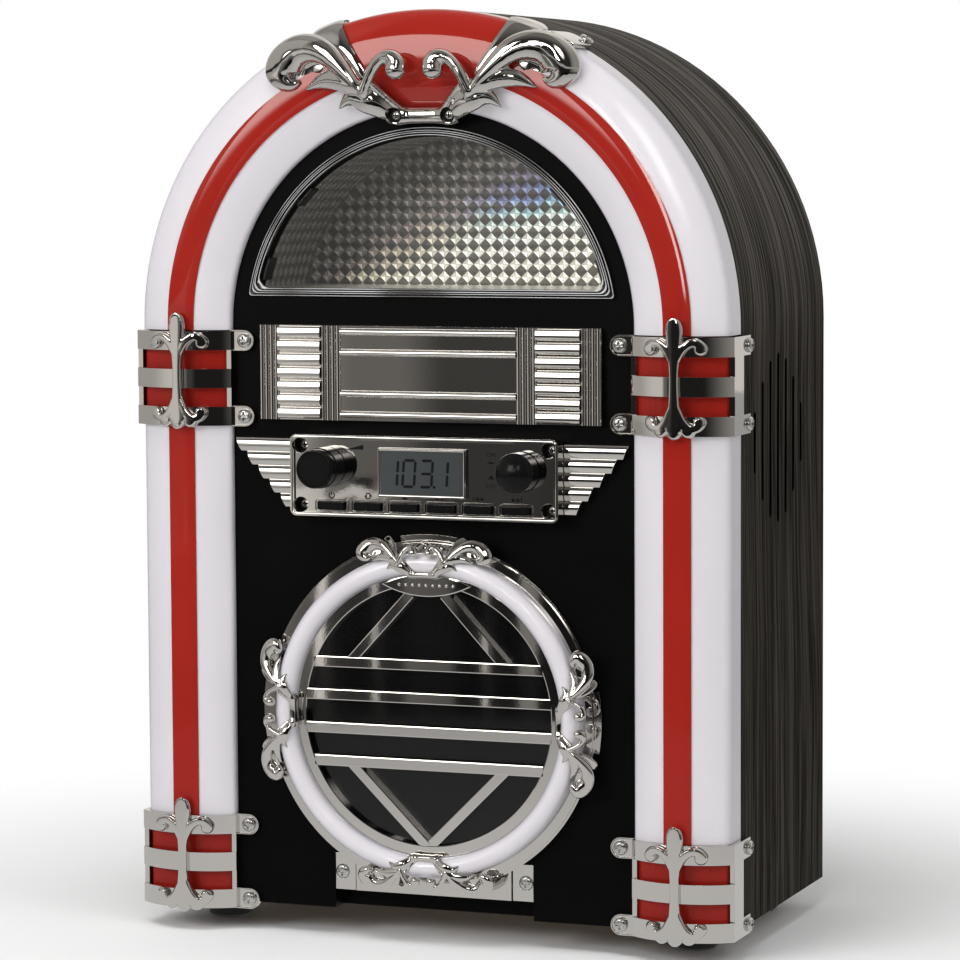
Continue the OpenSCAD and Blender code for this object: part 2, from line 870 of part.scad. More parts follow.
module left_column_tube() {
    mirror([1, 0, 0])
        right_column_tube();
}

module crown_lens() {
    color("#c01d1a") at_face()
        arch_sweep(90 - crown_angle, 90 + crown_angle)
            crown_shell();
}

module arch_stripes() {
    color("#c01d1a") at_face()
        both_sides() {
            arch_sweep(0, 90 - crown_angle - 0.1)
                stripe_outline();
            column(arch_z - bracket_drop, arch_z)
                stripe_outline();
        }
}

module column_stripes() {
    color("#c01d1a") at_face()
        both_sides()
            column(lower_z0 + bracket_h, upper_z0)
                stripe_outline();
}

module light_strips() {
    strip_z0 = lower_z0 + bracket_h + 4;
    strip_z1 = upper_z0 - 4;
    step = (strip_z1 - strip_z0) / led_count;
    color("#d8d4b0") at_face()
        both_sides() {
            block([tube_mid - led_board_w / 2, -1.6, strip_z0], [tube_mid + led_board_w / 2, 0, strip_z1]);
            for (i = [0:led_count - 1])
                rod(tube_mid, strip_z0 + (i + 0.5) * step, -3.6, -1, 2.5);
        }
}

// Brackets

ear_heights = [band_h / 2, bracket_h - band_h / 2];

module inner_ear_bores(y0, y1, r) {
    for (z0 = [lower_z0, upper_z0], h = ear_heights)
        if (z0 + h > panel_z0)
            rod(tube_in - ear_in, z0 + h, y0, y1, r);
}

module outer_ear_bores(r) {
    for (z0 = [lower_z0, upper_z0], h = ear_heights)
        bar(half_w - wood_t - over, half_w + band_reach_out + over, ear_back, z0 + h, r);
}

module bracket(z0) {
    side_x = tube_out + band_reach_out - band_t;
    color("#c9c9cc") at_face()
        difference() {
            union() {
                for (i = [0, 2, 4])
                    column(z0 + i * band_h, z0 + (i + 1) * band_h)
                        difference() {
                            band_front(0);
                            band_front(band_t);
                        }
                block(
                    [tube_in - band_reach_in, -band_apex / 3, z0],
                    [tube_in - band_reach_in + band_t, -fit_gap, z0 + bracket_h]
                );
                block([side_x, -band_apex / 4, z0], [side_x + band_t, flange_d, z0 + bracket_h]);
                for (h = ear_heights) {
                    block(
                        [tube_in - ear_in, -band_t, z0 + h - ear_r * 0.9],
                        [tube_in - band_reach_in + band_t, -fit_gap, z0 + h + ear_r * 0.9]
                    );
                    rod(tube_in - ear_in, z0 + h, -band_t, -fit_gap, ear_r);
                    block(
                        [side_x, flange_d - over, z0 + h - band_h / 2],
                        [side_x + band_t, ear_back + 3, z0 + h + band_h / 2]
                    );
                }
            }
            inner_ear_bores(-band_apex, over, screw_d / 2 + 2 * run_gap);
            outer_ear_bores(screw_d / 2 + 2 * run_gap);
        }
}

module upper_right_bracket() {
    bracket(upper_z0);
}

module upper_left_bracket() {
    mirror([1, 0, 0])
        bracket(upper_z0);
}

module lower_right_bracket() {
    bracket(lower_z0);
}

module lower_left_bracket() {
    mirror([1, 0, 0])
        bracket(lower_z0);
}

module bracket_sleeves() {
    color("#c01d1a") at_face()
        both_sides()
            for (z = [[panel_z0, lower_z0 + bracket_h], [upper_z0, upper_z0 + bracket_h]])
                column(z[0], z[1])
                    difference() {
                        tube_outline(-sleeve_inset);
                        tube_outline(-sleeve_inset - tube_wall);
                    }
}

// Height of a band's front where the fleur sits
fleur_f = band_apex - band_arc_r + sqrt(band_arc_r^2 - band_shift^2);

module fleur_ornaments() {
    color("#c9c9cc") at_face()
        both_sides()
            for (z0 = [lower_z0, upper_z0])
                difference() {
                    translate([tube_mid, -fleur_f, z0 + bracket_h])
                        rotate([90, 0, 0])
                            scale([fleur_scale, fleur_scale, fleur_h / fleur_drawn[1]])
                                fleur();
                    translate([tube_mid + band_shift, band_arc_r - band_apex, z0 - bracket_h])
                        cylinder(h = 3 * bracket_h, r = band_arc_r + 2 * fit_gap, $fn = 36);
                }
}

// Crest

module crest_clip() {
    intersection() {
        arch_sweep(90 - crown_angle - 8, 90 - crown_angle + 6)
            difference() {
                union() {
                    tube_outline(band_t + 2 * fit_gap);
                    translate([tube_out + 2 * fit_gap, ear_r - ear_back])
                        square([band_t, ear_back - ear_r]);
                }
                tube_room();
            }
        slab(-tube_apex - band_t - over, ear_back)
            translate([0, arch_z + tube_in])
                polygon(crest_scale * clip_outline);
    }
}

module crest_tab_bore(r) {
    translate([0, ear_back, arch_z])
        rotate([0, crest_tab_angle, 0])
            translate([0, 0, half_w - wood_t - over])
                cylinder(h = wood_t + band_reach_out + 3 * over, r = r);
}

// Side tab that is screwed to the wood behind a horn
module crest_tab() {
    difference() {
        arch_sweep(90 - crest_tab_angle - 2.4, 90 - crest_tab_angle + 2.4)
            translate([tube_out + 2 * fit_gap, -ear_back - 3])
                square([band_t, ear_back + 3 + tube_apex]);
        crest_tab_bore(screw_d / 2 + 2 * run_gap);
    }
}

module crest_bore(y, r) {
    rod(crest_screw[0], crest_screw[1], y - 20, y, r);
}

module crest() {
    color("#c9c9cc") at_face() {
        difference() {
            translate([0, 0, arch_z + tube_in])
                rotate([90, 0, 0])
                    scale(crest_scale) {
                        both_sides()
                            scrolls(2, 8);
                        tie_bar();
                    }
            arch_sweep(90 - 2 * crest_tab_angle, 90 + 2 * crest_tab_angle, $fn = 48)
                tube_room();
            both_sides() {
                crest_bore(over, screw_d / 2 + 2 * run_gap, $fn = 14);
                crest_bore(crest_seat_y, screw_head_d / 2 + slide_gap, $fn = 14);
            }
        }
        both_sides() {
            crest_clip($fn = 40);
            crest_tab($fn = 40);
        }
    }
}

// Screws

// Screw along Y with its head's back at y
module screw_in(x, y, z, l = screw_l) {
    rod(x, z, y - screw_head_h, y, screw_head_d / 2);
    rod(x, z, y - screw_head_h / 2, y + l, screw_d / 2);
}

module screw_side(y, z) {
    x = half_w + band_reach_out;
    bar(x, x + screw_head_h, y, z, screw_head_d / 2);
    bar(x - screw_l, x + screw_head_h / 2, y, z, screw_d / 2);
}

module case_screws() {
    color("#b8b8bb") at_face() {
        both_sides() {
            for (z0 = [lower_z0, upper_z0], h = ear_heights) {
                if (z0 + h > panel_z0)
                    screw_in(tube_in - ear_in, -band_t, z0 + h);
                screw_side(ear_back, z0 + h);
            }
            screw_in(crest_screw[0], crest_seat_y, crest_screw[1]);
            for (z = housing_screw_heights)
                screw_in(housing_screw[0], housing_seat_y, housing_z0 + z);
            screw_in(hinge_screw_x, screw_head_h / 2, hinge_screw_z, pocket_d + over);
            translate([0, ear_back, arch_z])
                rotate([0, crest_tab_angle, 0])
                    translate([0, 0, half_w + 2 * fit_gap + band_t]) {
                        cylinder(h = screw_head_h, r = screw_head_d / 2);
                        translate([0, 0, -screw_l])
                            cylinder(h = screw_l + over, r = screw_d / 2);
                    }
        }
        for (p = back_screw_places)
            translate([0, 2 * back_y1, 0])
                mirror([0, 1, 0])
                    screw_in(p[0], back_y1, p[1]);
    }
}

// Window

module window_lens() {
    color("#dfe6ea", 0.35) at_face() {
        slab(-win_pane_t, 0)
            d_outline(win_r, win_chord);
        slab(-win_rim_h, -win_pane_t)
            difference() {
                d_outline(win_r, win_chord);
                d_outline(win_open_r, win_chord + win_rim_w);
            }
    }
}

module window_tray() {
    color("#181818") at_face() {
        slab(panel_t, tray_d + tray_t)
            difference() {
                d_outline(win_open_r + tray_t, win_chord + win_rim_w - tray_t);
                d_outline(win_open_r, win_chord + win_rim_w);
            }
        slab(tray_d, tray_d + tray_t)
            d_outline(win_open_r + tray_t, win_chord + win_rim_w - tray_t);
    }
}

module prism_foil() {
    inner_r = win_open_r - fit_gap;
    chord = win_chord + win_rim_w + fit_gap;
    color("#b9c2c6") at_face() {
        slab(tray_d - fit_gap - foil_t, tray_d - fit_gap)
            d_outline(inner_r, chord);
        slab(foil_start, tray_d - fit_gap - foil_t)
            difference() {
                d_outline(inner_r, chord);
                d_outline(inner_r - foil_t, chord + foil_t);
            }
    }
}

// Title plate

module title_plate() {
    mid_half = title_half - 2 * flute_w - rib_block_w;
    flute_pitch = flute_w / flute_count;
    rib_pitch = title_h / rib_count;
    color("#c9c9cc") at_face() {
        block([-title_half, -title_t, title_z0], [title_half, 0, title_z0 + title_h]);
        both_sides() {
            for (x0 = [title_half - flute_w, mid_half], i = [0:flute_count - 1])
                translate([x0 + (i + 0.5) * flute_pitch, -title_t, title_z0])
                    cylinder(h = title_h, r = flute_pitch * 0.46);
            for (i = [0:rib_count - 1])
                bar(
                    mid_half + flute_w, title_half - flute_w, -title_t,
                    title_z0 + (i + 0.5) * rib_pitch, rib_pitch * 0.4
                );
        }
        for (z = long_rib_z, zz = [title_z0 + z, title_z0 + title_h - z])
            bar(-mid_half, mid_half, -title_t, zz, long_rib_h / 2);
    }
}

// Control housing

housing_screw_heights = [housing_screw[1], housing_h - housing_screw[1]];
housing_seat_y = -3;

module housing_bores(y0, y1, r) {
    for (z = housing_screw_heights)
        rod(housing_screw[0], housing_z0 + z, y0, y1, r);
}

function button_x(i) = (i - (button_count - 1) / 2) * button_pitch;

module control_housing() {
    post_r = 2;
    pillar_r = screw_head_d / 2 + 1.4;
    color("#c9c9cc") at_face()
        difference() {
            union() {
                slab(-housing_f, 0)
                    translate([0, housing_z0])
                        difference() {
                            rounded_rect(housing_w, housing_h, housing_r);
                            translate([0, housing_wall])
                                rounded_rect(
                                    housing_w - 2 * housing_wall, housing_h - 2 * housing_wall, housing_r / 2
                                );
                        }
                slab(face_y0, face_back_y)
                    translate([0, housing_z0 + housing_wall / 2])
                        rounded_rect(housing_w - housing_wall, housing_h - housing_wall, housing_r / 2);
                block(
                    [-bezel_x, -housing_f - 0.6, bezel_z0],
                    [bezel_x, face_y0 + housing_wall / 2, bezel_z0 + bezel_h]
                );
                both_sides() {
                    for (z = housing_screw_heights)
                        rod(housing_screw[0], housing_z0 + z, face_y0 + over, 0, pillar_r);
                    for (z = [11, housing_h - 6])
                        rod(bezel_x + 8, housing_z0 + z, face_back_y - over, board_y0, post_r);
                }
            }
            block(
                [-bezel_x + bezel_w, -housing_f - over, bezel_z0 + bezel_w],
                [bezel_x - bezel_w, face_back_y + over, bezel_z0 + bezel_h - bezel_w]
            );
            both_sides() {
                housing_bores(-housing_f - over, housing_seat_y, screw_head_d / 2 + slide_gap);
                housing_bores(-housing_f, over, screw_d / 2 + 2 * run_gap);
            }
            rod(-knob_x, knob_z, -housing_f - over, face_back_y + over, shaft_d / 2 + 1);
            rod(knob_x, knob_z, -housing_f - over, face_back_y + over, light_d / 2 + slide_gap);
            for (i = [0:button_count - 1])
                block(
                    [button_x(i) - button_w / 2, -housing_f - over, button_z - button_h / 2],
                    [button_x(i) + button_w / 2, face_back_y + over, button_z + button_h / 2]
                );
        }
}

module lcd_panel() {
    x = bezel_x - bezel_w + over;
    color("#8fa39a") at_face()
        block(
            [-x, face_back_y + fit_gap, bezel_z0 + bezel_w - over],
            [x, board_y0, bezel_z0 + bezel_h - bezel_w + over]
        );
}

tact_h = 1.6;

module control_board() {
    board_x = housing_screw[0] - screw_head_d / 2 - 2;
    color("#2e6b3c") at_face()
        difference() {
            union() {
                block(
                    [-board_x, board_y0, housing_z0 + housing_wall + over],
                    [board_x, board_y0 + board_t, housing_z0 + housing_h - housing_wall - over]
                );
                for (i = [0:button_count - 1])
                    block(
                        [button_x(i) - 3, board_y0 - tact_h, button_z - 1.6],
                        [button_x(i) + 3, board_y0 + board_t / 2, button_z + 1.6]
                    );
            }
            for (x = [-knob_x, knob_x])
                rod(x, knob_z, board_y0 - over, board_y0 + board_t + over, bushing_r + fit_gap);
        }
}

bushing_r = shaft_d / 2 + 1.2;
control_back_y = board_y0 + board_t;

module volume_pot() {
    pot_r = 8;
    color("#9a9a92") at_face()
        difference() {
            union() {
                rod(-knob_x, knob_z, control_back_y, control_back_y + 9, pot_r);
                rod(-knob_x, knob_z, face_back_y + over, control_back_y + over, bushing_r);
            }
            rod(-knob_x, knob_z, face_back_y, control_back_y + 6, shaft_d / 2 + run_gap);
        }
}

module light_switch() {
    half = 6.5;
    color("#30302e") at_face()
        difference() {
            block(
                [knob_x - half, control_back_y, knob_z - half],
                [knob_x + half, control_back_y + 10, knob_z + half]
            );
            rod(knob_x, knob_z, control_back_y - over, control_back_y + 8, shaft_d / 2 + run_gap);
        }
}

module volume_knob() {
    front = -knob_front;
    color("#141414") at_face()
        translate([-knob_x, 0, knob_z])
            rotate([90, 0, 0])
                rotate_extrude()
                    polygon([
                        [0, -control_back_y - 5], [shaft_d / 2, -control_back_y - 5],
                        [shaft_d / 2, -face_y0 + slide_gap], [knob_d / 2, -face_y0 + slide_gap],
                        [knob_d / 2, -front - 6], [knob_d / 2 - 0.5, -front - 5.4],
                        [knob_d / 2 - 0.5, -front - 1.2], [knob_d / 2 - 1.7, -front], [0, -front]
                    ]);
}

module light_button() {
    front = -face_y0 + light_l;
    dome_h = 4;
    dome_r = (light_d^2 / 4 + dome_h^2) / (2 * dome_h);
    color("#141414") at_face()
        translate([knob_x, 0, knob_z])
            rotate([90, 0, 0])
                rotate_extrude()
                    union() {
                        translate([0, -control_back_y - 3])
                            square([shaft_d / 2, front - dome_h + control_back_y + 3]);
                        translate([0, -board_y0 + light_travel + fit_gap])
                            square([light_d / 2, front - dome_h + board_y0 - light_travel - fit_gap]);
                        intersection() {
                            translate([0, front - dome_r])
                                circle(dome_r);
                            translate([0, front - dome_h])
                                square([light_d / 2, dome_h + over]);
                        }
                    }
}

module push_button(i) {
    x = button_w / 2 - slide_gap;
    z = button_h / 2 - slide_gap;
    lip = 0.5;
    stem_back = board_y0 - tact_h - button_travel - run_gap;
    color("#2a2a2c") at_face()
        translate([button_x(i), 0, button_z]) {
            block([-x, face_y0 - button_proud, -z], [x, face_back_y + slide_gap + 0.4, z]);
            block(
                [-x - 2 * lip, face_back_y + slide_gap, -z - lip],
                [x + 2 * lip, face_back_y + slide_gap + 0.8, z + lip]
            );
            rod(0, 0, face_back_y, stem_back, 1.2);
        }
}

module power_button() {
    push_button(0);
}

module repeat_button() {
    push_button(1);
}

module stop_button() {
    push_button(2);
}

module play_button() {
    push_button(3);
}

module back_button() {
    push_button(4);
}

module next_button() {
    push_button(5);
}

// Wings beside the control housing

module right_wing() {
    top = housing_z0 + housing_h - wing_drop;
    x0 = housing_half + fit_gap;
    x1 = tube_in - wing_gap;
    color("#c9c9cc") at_face()
        for (i = [0:wing_ribs - 1])
            let (tip = x1 - i * wing_step * (x1 - x0), z1 = top - i * wing_rib_h, z0 = z1 - wing_rib_h)
            intersection() {
                slab(-wing_f, 0)
                    polygon([[x0, z0], [tip - wing_slant, z0], [tip, z1], [x0, z1]]);
                bar(x0 - over, tip + over, wing_rib_h * 0.75 - wing_f, (z0 + z1) / 2, wing_rib_h * 0.75);
            }
}

module left_wing() {
    mirror([1, 0, 0])
        right_wing();
}

// CD door

module door_frame() {
    leaf_front = -door_gap - 0.3;
    knuckle_r = hinge_axis_y - fit_gap;
    color("#c9c9cc") at_face()
        difference() {
            union() {
                door_turn()
                    difference() {
                        union() {
                            translate([ring_in - grille_ring_w, door_gap])
                                square([door_r - ring_in + grille_ring_w, door_floor_t]);
                            translate([ring_out + fit_gap, door_gap])
                                square([door_r - ring_out - fit_gap - 1, door_edge_f - door_gap]);
                            translate([ring_out + fit_gap, door_gap])
                                square([door_r - ring_out - fit_gap, door_edge_f - door_gap - 1]);
                            translate([door_open_r - 4, -panel_t])
                                square([3, panel_t + door_gap + 0.5]);
                        }
                        translate([0, door_gap + door_floor_t - door_pane_t])
                            square([ring_in - 1.5 + fit_gap, door_pane_t + over]);
                    }
                for (a = [0:90:270])
                    lug(a);
                block(
                    [-tongue_x, -door_gap - 1.5, door_z + latch_r - tongue_h / 2],
                    [tongue_x, tongue_d, door_z + latch_r + tongue_h / 2]
                );
                block([-leaf_x, leaf_front, hinge_z0], [leaf_x, leaf_t, hinge_z1]);
                bar(-leaf_x, leaf_x, hinge_axis_y, axis_z, knuckle_r);
            }
            bar(-leaf_x - over, leaf_x + over, hinge_axis_y, axis_z, hinge_pin_d / 2 + run_gap / 2);
            rod(0, door_z, -door_gap - door_floor_t + door_pane_t, pocket_d, ring_in - grille_ring_w);
        }
}

// Curved lug that backs an ornament outside the frame
module lug(a) {
    half_angle = asin(lug_x / ornament_reach);
    translate([0, 0, door_z])
        rotate([90, 0, 0])
            rotate_extrude(angle = 2 * half_angle, start = a - half_angle)
                translate([door_r - 2, door_gap])
                    square([ornament_reach - door_r + 2, door_floor_t]);
}

module light_ring_outline() {
    r = (ring_out - ring_in) / 2;
    base = door_gap + door_floor_t;
    translate([ring_in + fit_gap, base])
        square([2 * r - fit_gap, ring_apex - r - base]);
    intersection() {
        translate([ring_in + r, ring_apex - r])
            circle(r);
        translate([ring_in + fit_gap, ring_apex - r])
            square([2 * r, r + over]);
    }
}

module door_light_ring() {
    color("#f1f0f4") at_face()
        door_turn()
            light_ring_outline();
}

module diagonal(a, b) {
    d = (b - a) / norm(b - a);
    n = [-d[1], d[0]] * grille_diag_w / 2;
    polygon([a - n, b - n, b + n, a + n]);
}

module tab_outline() {
    r = (tab_x^2 + tab_h^2 / 4) / tab_h;
    mid = ring_in - tab_h / 2;
    intersection() {
        translate([0, mid - tab_h / 2 + r])
            circle(r);
        translate([0, mid + tab_h / 2 - r])
            circle(r);
    }
}

module door_grille() {
    base = door_gap + door_floor_t;
    inner = ring_in - grille_ring_w;
    top_bar = grille_bar_z[1] * ring_in;
    foot = grille_foot * ring_in;
    color("#c9c9cc") at_face()
        translate([0, 0, door_z]) {
            slab(-grille_f, -base)
                difference() {
                    circle(ring_in);
                    circle(inner);
                }
            slab(-grille_f, -base)
                intersection() {
                    circle(inner + 1);
                    union() {
                        for (s = [-1, 1], z = grille_bar_z)
                            translate([-inner - 1, s * z * ring_in - grille_bar_h / 2])
                                square([2 * inner + 2, grille_bar_h]);
                        for (s = [-1, 1]) {
                            diagonal([s * 8, ring_in - tab_h + 1], [s * foot, top_bar]);
                            diagonal([s * foot, -top_bar], [s * 0.6, -inner - 0.5]);
                        }
                    }
                }
            slab(-grille_f - 0.8, -base)
                tab_outline();
        }
}

module door_window() {
    color("#20201f", 0.5) at_face()
        rod(0, door_z, -door_gap - door_floor_t, -door_gap - door_floor_t + door_pane_t, ring_in - 1.5);
}

module door_ornaments() {
    lift = ornament_reach - ornament_up * ornament_scale;
    color("#c9c9cc") at_face()
        for (a = [0:90:270])
            translate([0, 0, door_z])
                rotate([0, a, 0])
                    difference() {
                        translate([0, -ornament_f, lift])
                            rotate([90 - ornament_tilt, 0, 0])
                                scale(ornament_scale) {
                                    both_sides()
                                        scrolls(1, 5);
                                    tie_bar();
                                }
                        translate([0, 0, -door_z])
                            door_turn($fn = 48) {
                                offset(delta = 2 * fit_gap)
                                    light_ring_outline($fn = 12);
                                square([ring_in + over, grille_f + fit_gap]);
                                translate([ring_in, 0])
                                    square([ornament_reach - ring_in + 9, door_edge_f + fit_gap]);
                            }
                    }
}

// Hinge and latch

module hinge_blocks() {
    inner_x = hinge_x - hinge_block_w;
    color("#c9c9cc") at_face()
        both_sides()
            difference() {
                block([inner_x, 0, hinge_z0], [hinge_x, pocket_d, hinge_z1]);
                bar(
                    inner_x - over, inner_x + hinge_pin_in + slide_gap, hinge_axis_y, axis_z,
                    hinge_pin_d / 2 + run_gap
                );
                rod(hinge_screw_x, hinge_screw_z, -over, pocket_d + over, screw_d / 2 + 2 * run_gap);
                rod(hinge_screw_x, hinge_screw_z, -over, screw_head_h / 2, screw_head_d / 2 + run_gap);
            }
}

module hinge_pin() {
    x = hinge_x - hinge_block_w + hinge_pin_in;
    color("#8d8d90") at_face()
        bar(-x, x, hinge_axis_y, axis_z, hinge_pin_d / 2);
}

module door_latch() {
    z = door_z + latch_r;
    color("#303032") at_face()
        difference() {
            block(
                [-tongue_x - 6, panel_t, z - tongue_h / 2 - 3],
                [tongue_x + 6, tongue_d + 6, z + tongue_h / 2 + 5]
            );
            block(
                [-tongue_x - 0.8, panel_t - over, z - tongue_h / 2 - 0.9],
                [tongue_x + 0.8, tongue_d + 3, z + tongue_h / 2 + 0.9]
            );
        }
}

// CD deck

module cd_well() {
    z = door_z + latch_r;
    color("#1c1c1d") at_face()
        difference() {
            union() {
                rod(0, door_z, panel_t, deck_y0, well_r);
                rod(0, door_z, panel_t, panel_t + 2, well_r + 5);
            }
            rod(0, door_z, panel_t - over, well_d, well_r - well_t);
            rod(0, door_z, well_d - over, deck_y0 + over, turntable_r / 2);
            block(
                [lens_x - lens_r - 4, well_d - over, door_z - 9],
                [lens_x + pickup_travel + lens_r + 4, deck_y0 + over, door_z + 9]
            );
            difference() {
                union() {
                    block(
                        [-pocket_x - skirt_t - fit_gap, panel_t - over, door_z - well_r - 7],
                        [
                            pocket_x + skirt_t + fit_gap, pocket_d + skirt_t + fit_gap,
                            hinge_z1 + skirt_t + fit_gap
                        ]
                    );
                    block(
                        [-tongue_x - 6.2, panel_t - over, z - tongue_h / 2 - 3.2],
                        [tongue_x + 6.2, panel_t + 3, z + 12]
                    );
                }
                rod(0, door_z, panel_t - 2 * over, deck_y0, well_r);
            }
        }
}

module deck_chassis() {
    half_z = rail_z + 9;
    color("#a8aaac") at_face()
        difference() {
            union() {
                block(
                    [-motor_r - 6, chassis_y0, door_z - half_z],
                    [rail_x1 + rail_wall_t, chassis_y0 + chassis_t, door_z + half_z]
                );
                for (x = [rail_x0, rail_x1])
                    block(
                        [x, rail_y - rail_d, door_z - half_z],
                        [x + rail_wall_t, chassis_y0 + over, door_z + half_z]
                    );
                for (x = [-motor_r - 2, rail_x1 - 12], s = [-1, 1])
                    rod(x, door_z + s * (half_z - 2.5), deck_y0, chassis_y0 + over, 2);
            }
            for (s = [-1, 1])
                bar(
                    rail_x0 - over, rail_x1 + rail_wall_t + over, rail_y, door_z + s * rail_z,
                    rail_d / 2 + run_gap / 2
                );
        }
}

module spindle_motor() {
    color("#b5b5b2") at_face()
        difference() {
            rod(0, door_z, deck_y0 + 1, chassis_y0, motor_r);
            rod(0, door_z, deck_y0, chassis_y0 - 1, spindle_d / 2 + run_gap);
        }
}

module sled_rails() {
    color("#d0d0d2") at_face()
        for (s = [-1, 1])
            bar(rail_x0, rail_x1 + rail_wall_t, rail_y, door_z + s * rail_z, rail_d / 2);
}

module turntable() {
    color("#2c2c2e") at_face() {
        rod(0, door_z, disc_y, disc_y + turntable_t, turntable_r);
        rod(0, door_z, disc_y - hub_h + 2, disc_y + turntable_t / 2, hub_r);
        translate([0, disc_y - hub_h, door_z])
            rotate([-90, 0, 0])
                cylinder(h = 2, r1 = hub_r - 2, r2 = hub_r);
        rod(0, door_z, disc_y + turntable_t / 2, chassis_y0 - 2, spindle_d / 2);
    }
}

module laser_pickup() {
    color("#26262a") at_face()
        difference() {
            union() {
                block(
                    [pickup_x0, deck_y0 + 0.8, door_z - rail_z - 3.5],
                    [pickup_x0 + pickup_w, chassis_y0 - 0.8, door_z + rail_z + 3.5]
                );
                rod(lens_x, door_z, well_d - 1, deck_y0 + 2, lens_r);
            }
            for (s = [-1, 1])
                bar(
                    pickup_x0 - over, pickup_x0 + pickup_w + over, rail_y, door_z + s * rail_z,
                    rail_d / 2 + run_gap
                );
        }
}

// Electrics

module right_speaker() {
    cone_r = speaker_w / 2 - 3;
    magnet_r = speaker_w / 4;
    rim = 3;
    color("#202022") at_face()
        translate([speaker_x, speaker_y, speaker_z])
            rotate([0, -90, 0]) {
                translate([-speaker_w / 2, -speaker_w / 2, 0])
                    linear_extrude(rim)
                        difference() {
                            square(speaker_w);
                            translate([speaker_w / 2, speaker_w / 2])
                                circle(cone_r - 2);
                        }
                rotate_extrude()
                    polygon([
                        [0, speaker_d * 0.5], [magnet_r * 0.6, speaker_d * 0.45], [cone_r - 2, rim * 0.4],
                        [cone_r, rim * 0.4], [cone_r, rim + 1], [magnet_r, speaker_d * 0.6],
                        [magnet_r, speaker_d], [0, speaker_d]
                    ]);
            }
}

module left_speaker() {
    mirror([1, 0, 0])
        right_speaker();
}

module main_board() {
    w = main_board_size[0];
    d = main_board_size[1];
    top = base_z1 + board_up + main_board_size[2];
    y0 = back_y0 - d - 14;
    color("#2e6b3c") at_face() {
        block([-w / 2, y0, top - main_board_size[2]], [w / 2, y0 + d, top]);
        for (x = [-w / 2 + 5, w / 2 - 5], y = [y0 + 5, y0 + d - 5])
            translate([x, y, base_z1])
                cylinder(h = board_up + over / 2, r = 3);
        for (x = [-w / 4, 0, w / 4])
            translate([x, y0 + 18, top - over / 2])
                cylinder(h = 14, r = 5);
        block([-w / 4, y0 + d - 26, top - over / 2], [w / 4, y0 + d - 18, top + 16]);
    }
}

module transformer() {
    size = transformer_size;
    corner = [-half_w + wood_t + 8, back_y0 - size[1] - 22, base_z1];
    color("#6b5a3c") at_face() {
        translate(corner)
            cube(size);
        translate(corner + [size[0] * 0.2, -6, size[2] * 0.2])
            cube([size[0] * 0.6, size[1] + 12, size[2] * 0.6]);
    }
}

module inlet_body(g) {
    w = inlet_size[0] - 6;
    h = inlet_size[2] - 6;
    z = base_z1 + inlet_up;
    block(
        [inlet_x - w / 2 - g, back_y0 - 14, z - h / 2 - g],
        [inlet_x + w / 2 + g, back_y1 + g, z + h / 2 + g]
    );
}

module power_inlet() {
    z = base_z1 + inlet_up;
    mouth = [inlet_size[0] - 10, inlet_size[2] - 10];
    color("#161616") at_face() {
        difference() {
            union() {
                inlet_body(0);
                block(
                    [inlet_x - inlet_size[0] / 2, back_y1, z - inlet_size[2] / 2],
                    [inlet_x + inlet_size[0] / 2, back_y1 + inlet_size[1], z + inlet_size[2] / 2]
                );
            }
            block(
                [inlet_x - mouth[0] / 2, back_y0 - 8, z - mouth[1] / 2],
                [inlet_x + mouth[0] / 2, back_y1 + inlet_size[1] + over, z + mouth[1] / 2]
            );
        }
        for (s = [-1, 1])
            rod(inlet_x + s * 4.3, z, back_y0 - 10, back_y1 - 1, 1.2);
    }
}

cabinet_shell();
base_board();
back_panel();
rubber_feet();
front_panel();
left_arch_tube();
right_arch_tube();
left_column_tube();
right_column_tube();
crown_lens();
arch_stripes();
column_stripes();
light_strips();
upper_left_bracket();
upper_right_bracket();
lower_left_bracket();
lower_right_bracket();
bracket_sleeves();
fleur_ornaments();
crest();
case_screws();
window_lens();
window_tray();
prism_foil();
title_plate();
left_wing();
right_wing();
control_housing();
lcd_panel();
control_board();
volume_pot();
light_switch();
cd_well();
deck_chassis();
spindle_motor();
sled_rails();
main_board();
transformer();
left_speaker();
right_speaker();
power_inlet();
hinge_blocks();
door_latch();
door_frame();
door_light_ring();
door_grille();
door_window();
door_ornaments();
hinge_pin();
volume_knob();
light_button();
power_button();
repeat_button();
stop_button();
play_button();
back_button();
next_button();
turntable();
laser_pickup();
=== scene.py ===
"""Looks of a mini CD jukebox: finishes for its solids, and finer pieces where the solids are plain."""
import json
import math

import bmesh
import bpy
from bpy.props import FloatProperty, FloatVectorProperty, IntProperty, PointerProperty
from mathutils import Matrix, Vector

